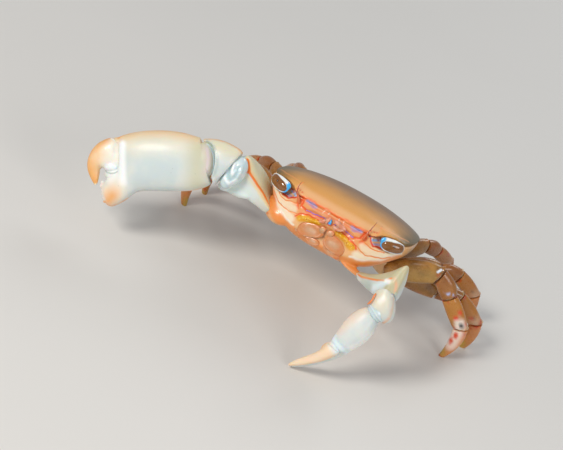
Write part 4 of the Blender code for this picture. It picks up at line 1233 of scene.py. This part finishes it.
# painted highlights in white along the tops of the raised folds, and painted shade in grey-blue along the
# pressed groove
paint_on(bulge, flat,
         ("fdffff", 0.2, ((-2.1, 0.1), (-1.9, -0.7), (-1.95, -1.0)), 0.9, 0.9),
         ("f6fdff", 0.2, ((-1.5, -0.5), (-1.3, -1.2), (-1.65, -1.72), (-2.2, -1.45)), 0.9, 0.9),
         ("a6c2c6", 0.2, ((-1.85, -0.3), (-1.6, -1.05), (-1.8, -1.4), (-2.1, -1.2), (-2.45, -0.5)), 0.9, 0.7))
done(bulge, silver_finish, "claw_cream")

# %% [markdown]
# The first long plate of the arm carries a sharp orange crest. The crest is raised and painted along one
# path, so that shape and colour can't come apart. The upper side is cream and the side below it bluish.

# %% Right merus and its orange crest
merus = weld(smooth_skin(copy_of("claw_right_merus", "merus_right"), 3),
             [RIGHT_HAND.egg("corner", (-1.15, -1.9, -1.05), (0.56, 0.36, 0.36), math.radians(15)),
              RIGHT_HAND.egg("corner", (-2.1, -2.22, -1.12), (1.2, 0.46, 0.42), math.radians(24))],
             voxel=0.055, rounds=16)
CREST = ((-5.28, -3.72, 9.86), (-5.3, -3.7, 9.5), (-4.8, -3.95, 8.84), (-4.46, -3.9, 8.6), (-3.8, -3.78, 8.1),
         (-3.2, -3.56, 7.6), (-2.5, -3.45, 7.05))
raised(merus, 0.2, 0.06, CREST)
rows = places(merus.data)
up_side = np.clip(directions(merus.data)[:, 2] * 3 - 0.3, 0, 1)
paint_on(merus, rows,
         ("e6dcb0", 9.0, ((-4.0, -3.0, 8.5),), 0.1, 0.9, up_side),
         ("cdc6a4", 1.6, ((-3.0, -2.8, 7.3), (-2.4, -3.0, 6.9)), 0.9, 0.7),
         ("dde8e4", 1.2, [RIGHT_HAND.at(u, v, -0.75) for u, v in ((-1.0, -1.9), (-2.9, -2.5))], 0.6, 1.0),
         ("f0c48a", 0.5, CREST, 0.9, 0.8, up_side),
         ("ee7a1c", 0.2, CREST, 0.4, 1.0),
         ("ee7a1c", 0.3, CREST[:3], 0.4, 1.0),
         ("bcd0d0", 0.8,
          [RIGHT_HAND.at(u, v, 0.5) for u, v in ((-1.8, -2.0), (-2.5, -1.6), (-3.0, -0.8))], 0.9, 0.8),
         ("f2b890", 0.16,
          [RIGHT_HAND.at(u, v) for u, v in ((-0.6, -1.7), (-1.6, -2.5), (-3.2, -3.5), (-4.4, -4.2))],
          0.9, 0.7),
         ("fdf6e8", 0.3, ((-5.35, -3.7, 10.0),), 0.6, 0.9))
done(merus, palm_finish, "claw_cream", "claw_right_merus")

# %% [markdown]
# The left arm points down towards the viewer. It gets the same parts in smaller: an orange line along the
# edge of its first plate, silvery skin at the elbow and the wrist, and an orange streak along the closed
# fingers.

# %% First plate of the left arm
merus = smooth_skin(copy_of("claw_left_merus", "merus_left"), 3)
EDGE = ((5.4, -3.7, 5.65), (6.51, -4.76, 6.26), (7.24, -5.54, 6.91), (7.92, -6.18, 7.52), (8.46, -6.54, 8.02),
        (8.8, -6.5, 8.42))
raised(merus, 0.2, 0.05, EDGE)
rows = places(merus.data)
up_side = np.clip(directions(merus.data)[:, 2] * 3 - 0.3, 0, 1)
paint_on(merus, rows,
         ("c6bc8e", 9.0, ((7.5, -4.5, 7.5),), 0.1, 0.85, up_side),
         ("e2f0f2", 0.5, ((7.9, -6.3, 6.9), (8.2, -6.6, 7.6), (8.6, -6.6, 8.0)), 0.9, 0.9),
         # painted shade: bluish grey on the lower front face below the orange edge
         ("a9b8b0", 0.9, ((6.6, -5.3, 5.9), (7.4, -5.9, 6.4)), 0.8, 0.7),
         ("e8b98c", 0.6, ((5.2, -3.0, 6.1), (5.6, -3.6, 5.9)), 0.9, 0.8),
         ("ee8a3c", 0.16, EDGE, 0.5, 1.0),
         # painted highlight: a white glint at the end of the orange edge
         ("fbfbf4", 0.34, ((8.5, -6.6, 8.1), (8.75, -6.7, 8.2)), 0.8, 0.95),
         ("f2b088", 0.2, ((9.0, -6.4, 8.5), (9.4, -6.7, 8.2), (9.5, -6.9, 7.8)), 0.9, 0.8))
done(merus, palm_finish, "claw_cream", "claw_left_merus")

# %% Left wrist segment
carpus = smooth_skin(copy_of("claw_left_carpus", "carpus_left"), 3)
rows = places(carpus.data)
paint_on(carpus, rows,
         ("ece0c4", 2.0, ((9.0, -8.1, 7.2),), 0.9, 0.8),
         ("f0b48a", 0.3,
          ((9.6, -7.4, 7.5), (9.95, -7.9, 6.9), (10.05, -8.1, 6.3), (9.9, -8.17, 5.78)), 0.9, 0.9),
         ("f6f2e8", 0.4, ((9.15, -8.1, 7.55), (9.0, -8.25, 7.3)), 0.9, 0.9))
done(carpus, palm_finish, "claw_cream", "claw_left_carpus")

# %% Left palm and fingers
palm = weld(smooth_skin(copy_of("claw_left_palm", "palm_left"), 3),
            [LEFT_HAND.egg("palm_end", (3.2, -0.75, 0.1), (0.75, 0.72, 0.5), math.radians(20))],
            voxel=0.06, rounds=8)
flat = LEFT_HAND.rows(places(palm.data))[:, :2]
paint_on(palm, flat,
         ("f2dcc8", 1.0, ((0.2, 0.4), (1.5, 0.3), (2.8, 0.2)), 0.9, 0.8),
         ("eeb07c", 0.16, ((0.1, 0.75), (1.5, 0.62), (2.6, 0.5), (3.4, 0.3)), 0.9, 0.9),
         ("fbfbf6", 0.4, ((0.6, -1.5), (2.0, -1.7), (3.2, -1.6)), 0.9, 0.8),
         ("e4f2f6", 0.5, ((3.45, 0.2), (3.4, -0.7), (3.15, -1.5)), 0.7, 0.95))
done(palm, palm_finish, "claw_cream", "claw_left_palm")

finger = weld(smooth_skin(copy_of("claw_left_finger", "finger_left"), 3),
              [LEFT_HAND.egg("finger_root", (4.0, -0.72, 0.2), (0.85, 0.5, 0.34), math.radians(20))],
              voxel=0.06, rounds=8)
flat = LEFT_HAND.rows(places(finger.data))[:, :2]
paint_on(finger, flat,
         ("f6dcc0", 0.9, ((4.0, -0.9), (5.4, -0.8), (6.8, -0.3)), 0.9, 0.85),
         ("e6863a", 0.34, ((4.3, 0.0), (5.0, -0.12), (5.7, 0.0), (6.4, 0.16), (7.4, 0.4)), 1.3, 0.95),
         ("e4f2f6", 0.9, ((3.4, -0.4), (3.5, -1.2)), 0.9, 0.9),
         ("f8f4ee", 0.3, ((7.5, 0.1), (7.8, 0.2)), 0.8, 0.8))
done(finger, finger_finish, "finger_orange", "claw_left_finger")

# %% [markdown]
# The joints of the arms get the same folded skins as those of the legs, in silver. Two strands close the
# wrists: an orange ridge on the left one and a light arc in the socket of the right one.

# %% Skins of the arm joints
for word in ("right", "left"):
    for near, far, size in (("merus", "carpus", 0.7), ("carpus", "palm", 0.84)):
        if word == "right" and far == "palm":
            continue
        middle, across, wide, axes = seam_between("claw_%s_%s" % (word, near), "claw_%s_%s" % (word, far))
        joint = pleated("joint_%s_%s" % (far, word), middle, (across, *axes),
                        (0.5, wide[0] * size, wide[1] * size), 48, 28)
        done(joint, silver_finish, "claw_cream")

# %% Ridge and arc at the wrists
RIDGE = ((8.45, -7.8, 7.5), (8.42, -7.98, 7.3), (8.46, -8.15, 7.05), (8.4, -8.3, 6.8), (8.28, -8.36, 6.6))
ridge = strand("wrist_ridge_left", RIDGE, (0.03, 0.1, 0.06, 0.11, 0.03), level=2)
brush(ridge, places(ridge.data), "e67c3c", 9.0, ((8.4, -8.0, 7.1),), 0.3, 0.9)
done(ridge, finger_finish, "claw_cream")
ARC = ((0.1, 1.2, 0.6), (-0.3, 0.88, 0.6), (-0.5, 0.35, 0.6), (-0.52, -0.25, 0.6), (-0.4, -0.75, 0.52),
       (-0.15, -1.1, 0.45))                # u, v and w
arc = strand("wrist_arc_right", [RIGHT_HAND.at(*point) for point in ARC],
             (0.03, 0.075, 0.09, 0.085, 0.06, 0.02), level=2)
done(arc, silver_finish, "claw_cream")

# %% [markdown]
# ## Floor, light and camera
#
# A plain pale floor carries the crab. It is a disc with a wide inset, so that its edge stays far away, and
# it is marked as a backdrop, so that it is left out of the box of the crab.

# %% Floor
FLOOR_RADIUS, FLOOR_INSET = 1.2, 0.9       # metres
bpy.ops.object.select_all(action="DESELECT")
bpy.ops.mesh.primitive_circle_add(vertices=96, radius=FLOOR_RADIUS, fill_type="NGON", location=(0, 0, 0))
floor = bpy.context.object
floor.name = "floor"
open_mesh(floor, "FACE")
bpy.ops.mesh.inset(thickness=FLOOR_INSET)
close_mesh()
floor_finish = Finish("floor_pale", roughness=0.6)
grain = floor_finish.noise(floor_finish.where(), 0.02, 4.0)
floor_finish.set("Base Color", floor_finish.mix(grain, "d9d6d0", "e2dfda"))
floor.data.materials.append(floor_finish.material)
floor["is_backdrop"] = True
print("floor:", 2 * FLOOR_RADIUS, "m across")

# %% [markdown]
# Three large round lamps and a pale room give soft shadows and broad highlights, which suit small waxy
# shapes: the key stands ahead on the right side of the crab, the fill on the left, and one shines from
# behind.

# %% Lamps
def lamp(name, place, target, size, power, colour=(1.0, 1.0, 1.0)):
    """A round soft lamp; place, target and size are in millimetres."""
    data = bpy.data.lights.new(name, "AREA")
    data.shape = "DISK"
    data.size = size * MM
    data.energy = power
    data.color = colour
    made = bpy.data.objects.new(name, data)
    made.location = Vector(place) * MM
    made.rotation_mode = "QUATERNION"
    made.rotation_quaternion = (Vector(target) - Vector(place)).to_track_quat("-Z", "Y")
    bpy.context.scene.collection.objects.link(made)


lamp("key", (-70, -130, 130), (0, 0, 5), 60, 0.21, (1.0, 0.97, 0.93))
lamp("fill", (130, -90, 80), (0, 0, 5), 90, 0.07)
lamp("back", (30, 140, 110), (0, 0, 5), 90, 0.06, (0.95, 0.98, 1.0))
world = bpy.data.worlds.new("pale_room")
world.use_nodes = True
world.node_tree.nodes["Background"].inputs[0].default_value = (0.82, 0.85, 0.9, 1)
world.node_tree.nodes["Background"].inputs[1].default_value = 0.42
bpy.context.scene.world = world
bpy.context.scene.view_settings.view_transform = "Standard"

# %% [markdown]
# The camera looks down at the crab from a little to its left and is rolled, so that the crab slants in the
# picture. Its place is worked out from where the eye line falls in the picture and from how many pixels a
# millimetre takes there. A long distance keeps the perspective weak, as in a close-up with a long lens.

# %% Camera
AZIMUTH, ELEVATION, ROLL = math.radians(12), math.radians(30), math.radians(23.7)
SCALE = 13.33                              # pixels to a millimetre at the eye line
DISTANCE = 160.0                           # millimetres from the camera to the eye line
EYES_IN_PICTURE = (337.0, 213.5)
PICTURE_SIZE = (563, 450)
SENSOR = 36
back = Vector((math.sin(AZIMUTH) * math.cos(ELEVATION),
               -math.cos(AZIMUTH) * math.cos(ELEVATION), math.sin(ELEVATION)))
level = Vector((math.cos(AZIMUTH), math.sin(AZIMUTH), 0))
upright = back.cross(level)
right = math.cos(ROLL) * level + math.sin(ROLL) * upright
up = -math.sin(ROLL) * level + math.cos(ROLL) * upright
centre = [size / 2 for size in PICTURE_SIZE]
spot = (EYE_LINE + right * (centre[0] - EYES_IN_PICTURE[0]) / SCALE
        - up * (centre[1] - EYES_IN_PICTURE[1]) / SCALE + back * DISTANCE)
camera_data = bpy.data.cameras.new("camera")
camera_data.sensor_width = SENSOR
camera_data.lens = SENSOR * DISTANCE / (PICTURE_SIZE[0] / SCALE)
camera_data.clip_start = 0.001
camera = bpy.data.objects.new("camera", camera_data)
camera.matrix_world = Matrix.Translation(spot * MM) @ Matrix((right, up, back)).transposed().to_4x4()
bpy.context.scene.collection.objects.link(camera)
bpy.context.scene.camera = camera
print("camera: %.1f mm lens, %d mm from the eye line" % (camera_data.lens, DISTANCE))

# %% [markdown]
# At the end the box of the finished crab is printed, as that of the solids was at the start.

# %% Box of the finished crab
seen_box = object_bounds()
[[list(corner) for corner in box] for box in (cad_box, seen_box)]
print("box", [[round(v / MM, 2) for v in corner] for corner in seen_box])
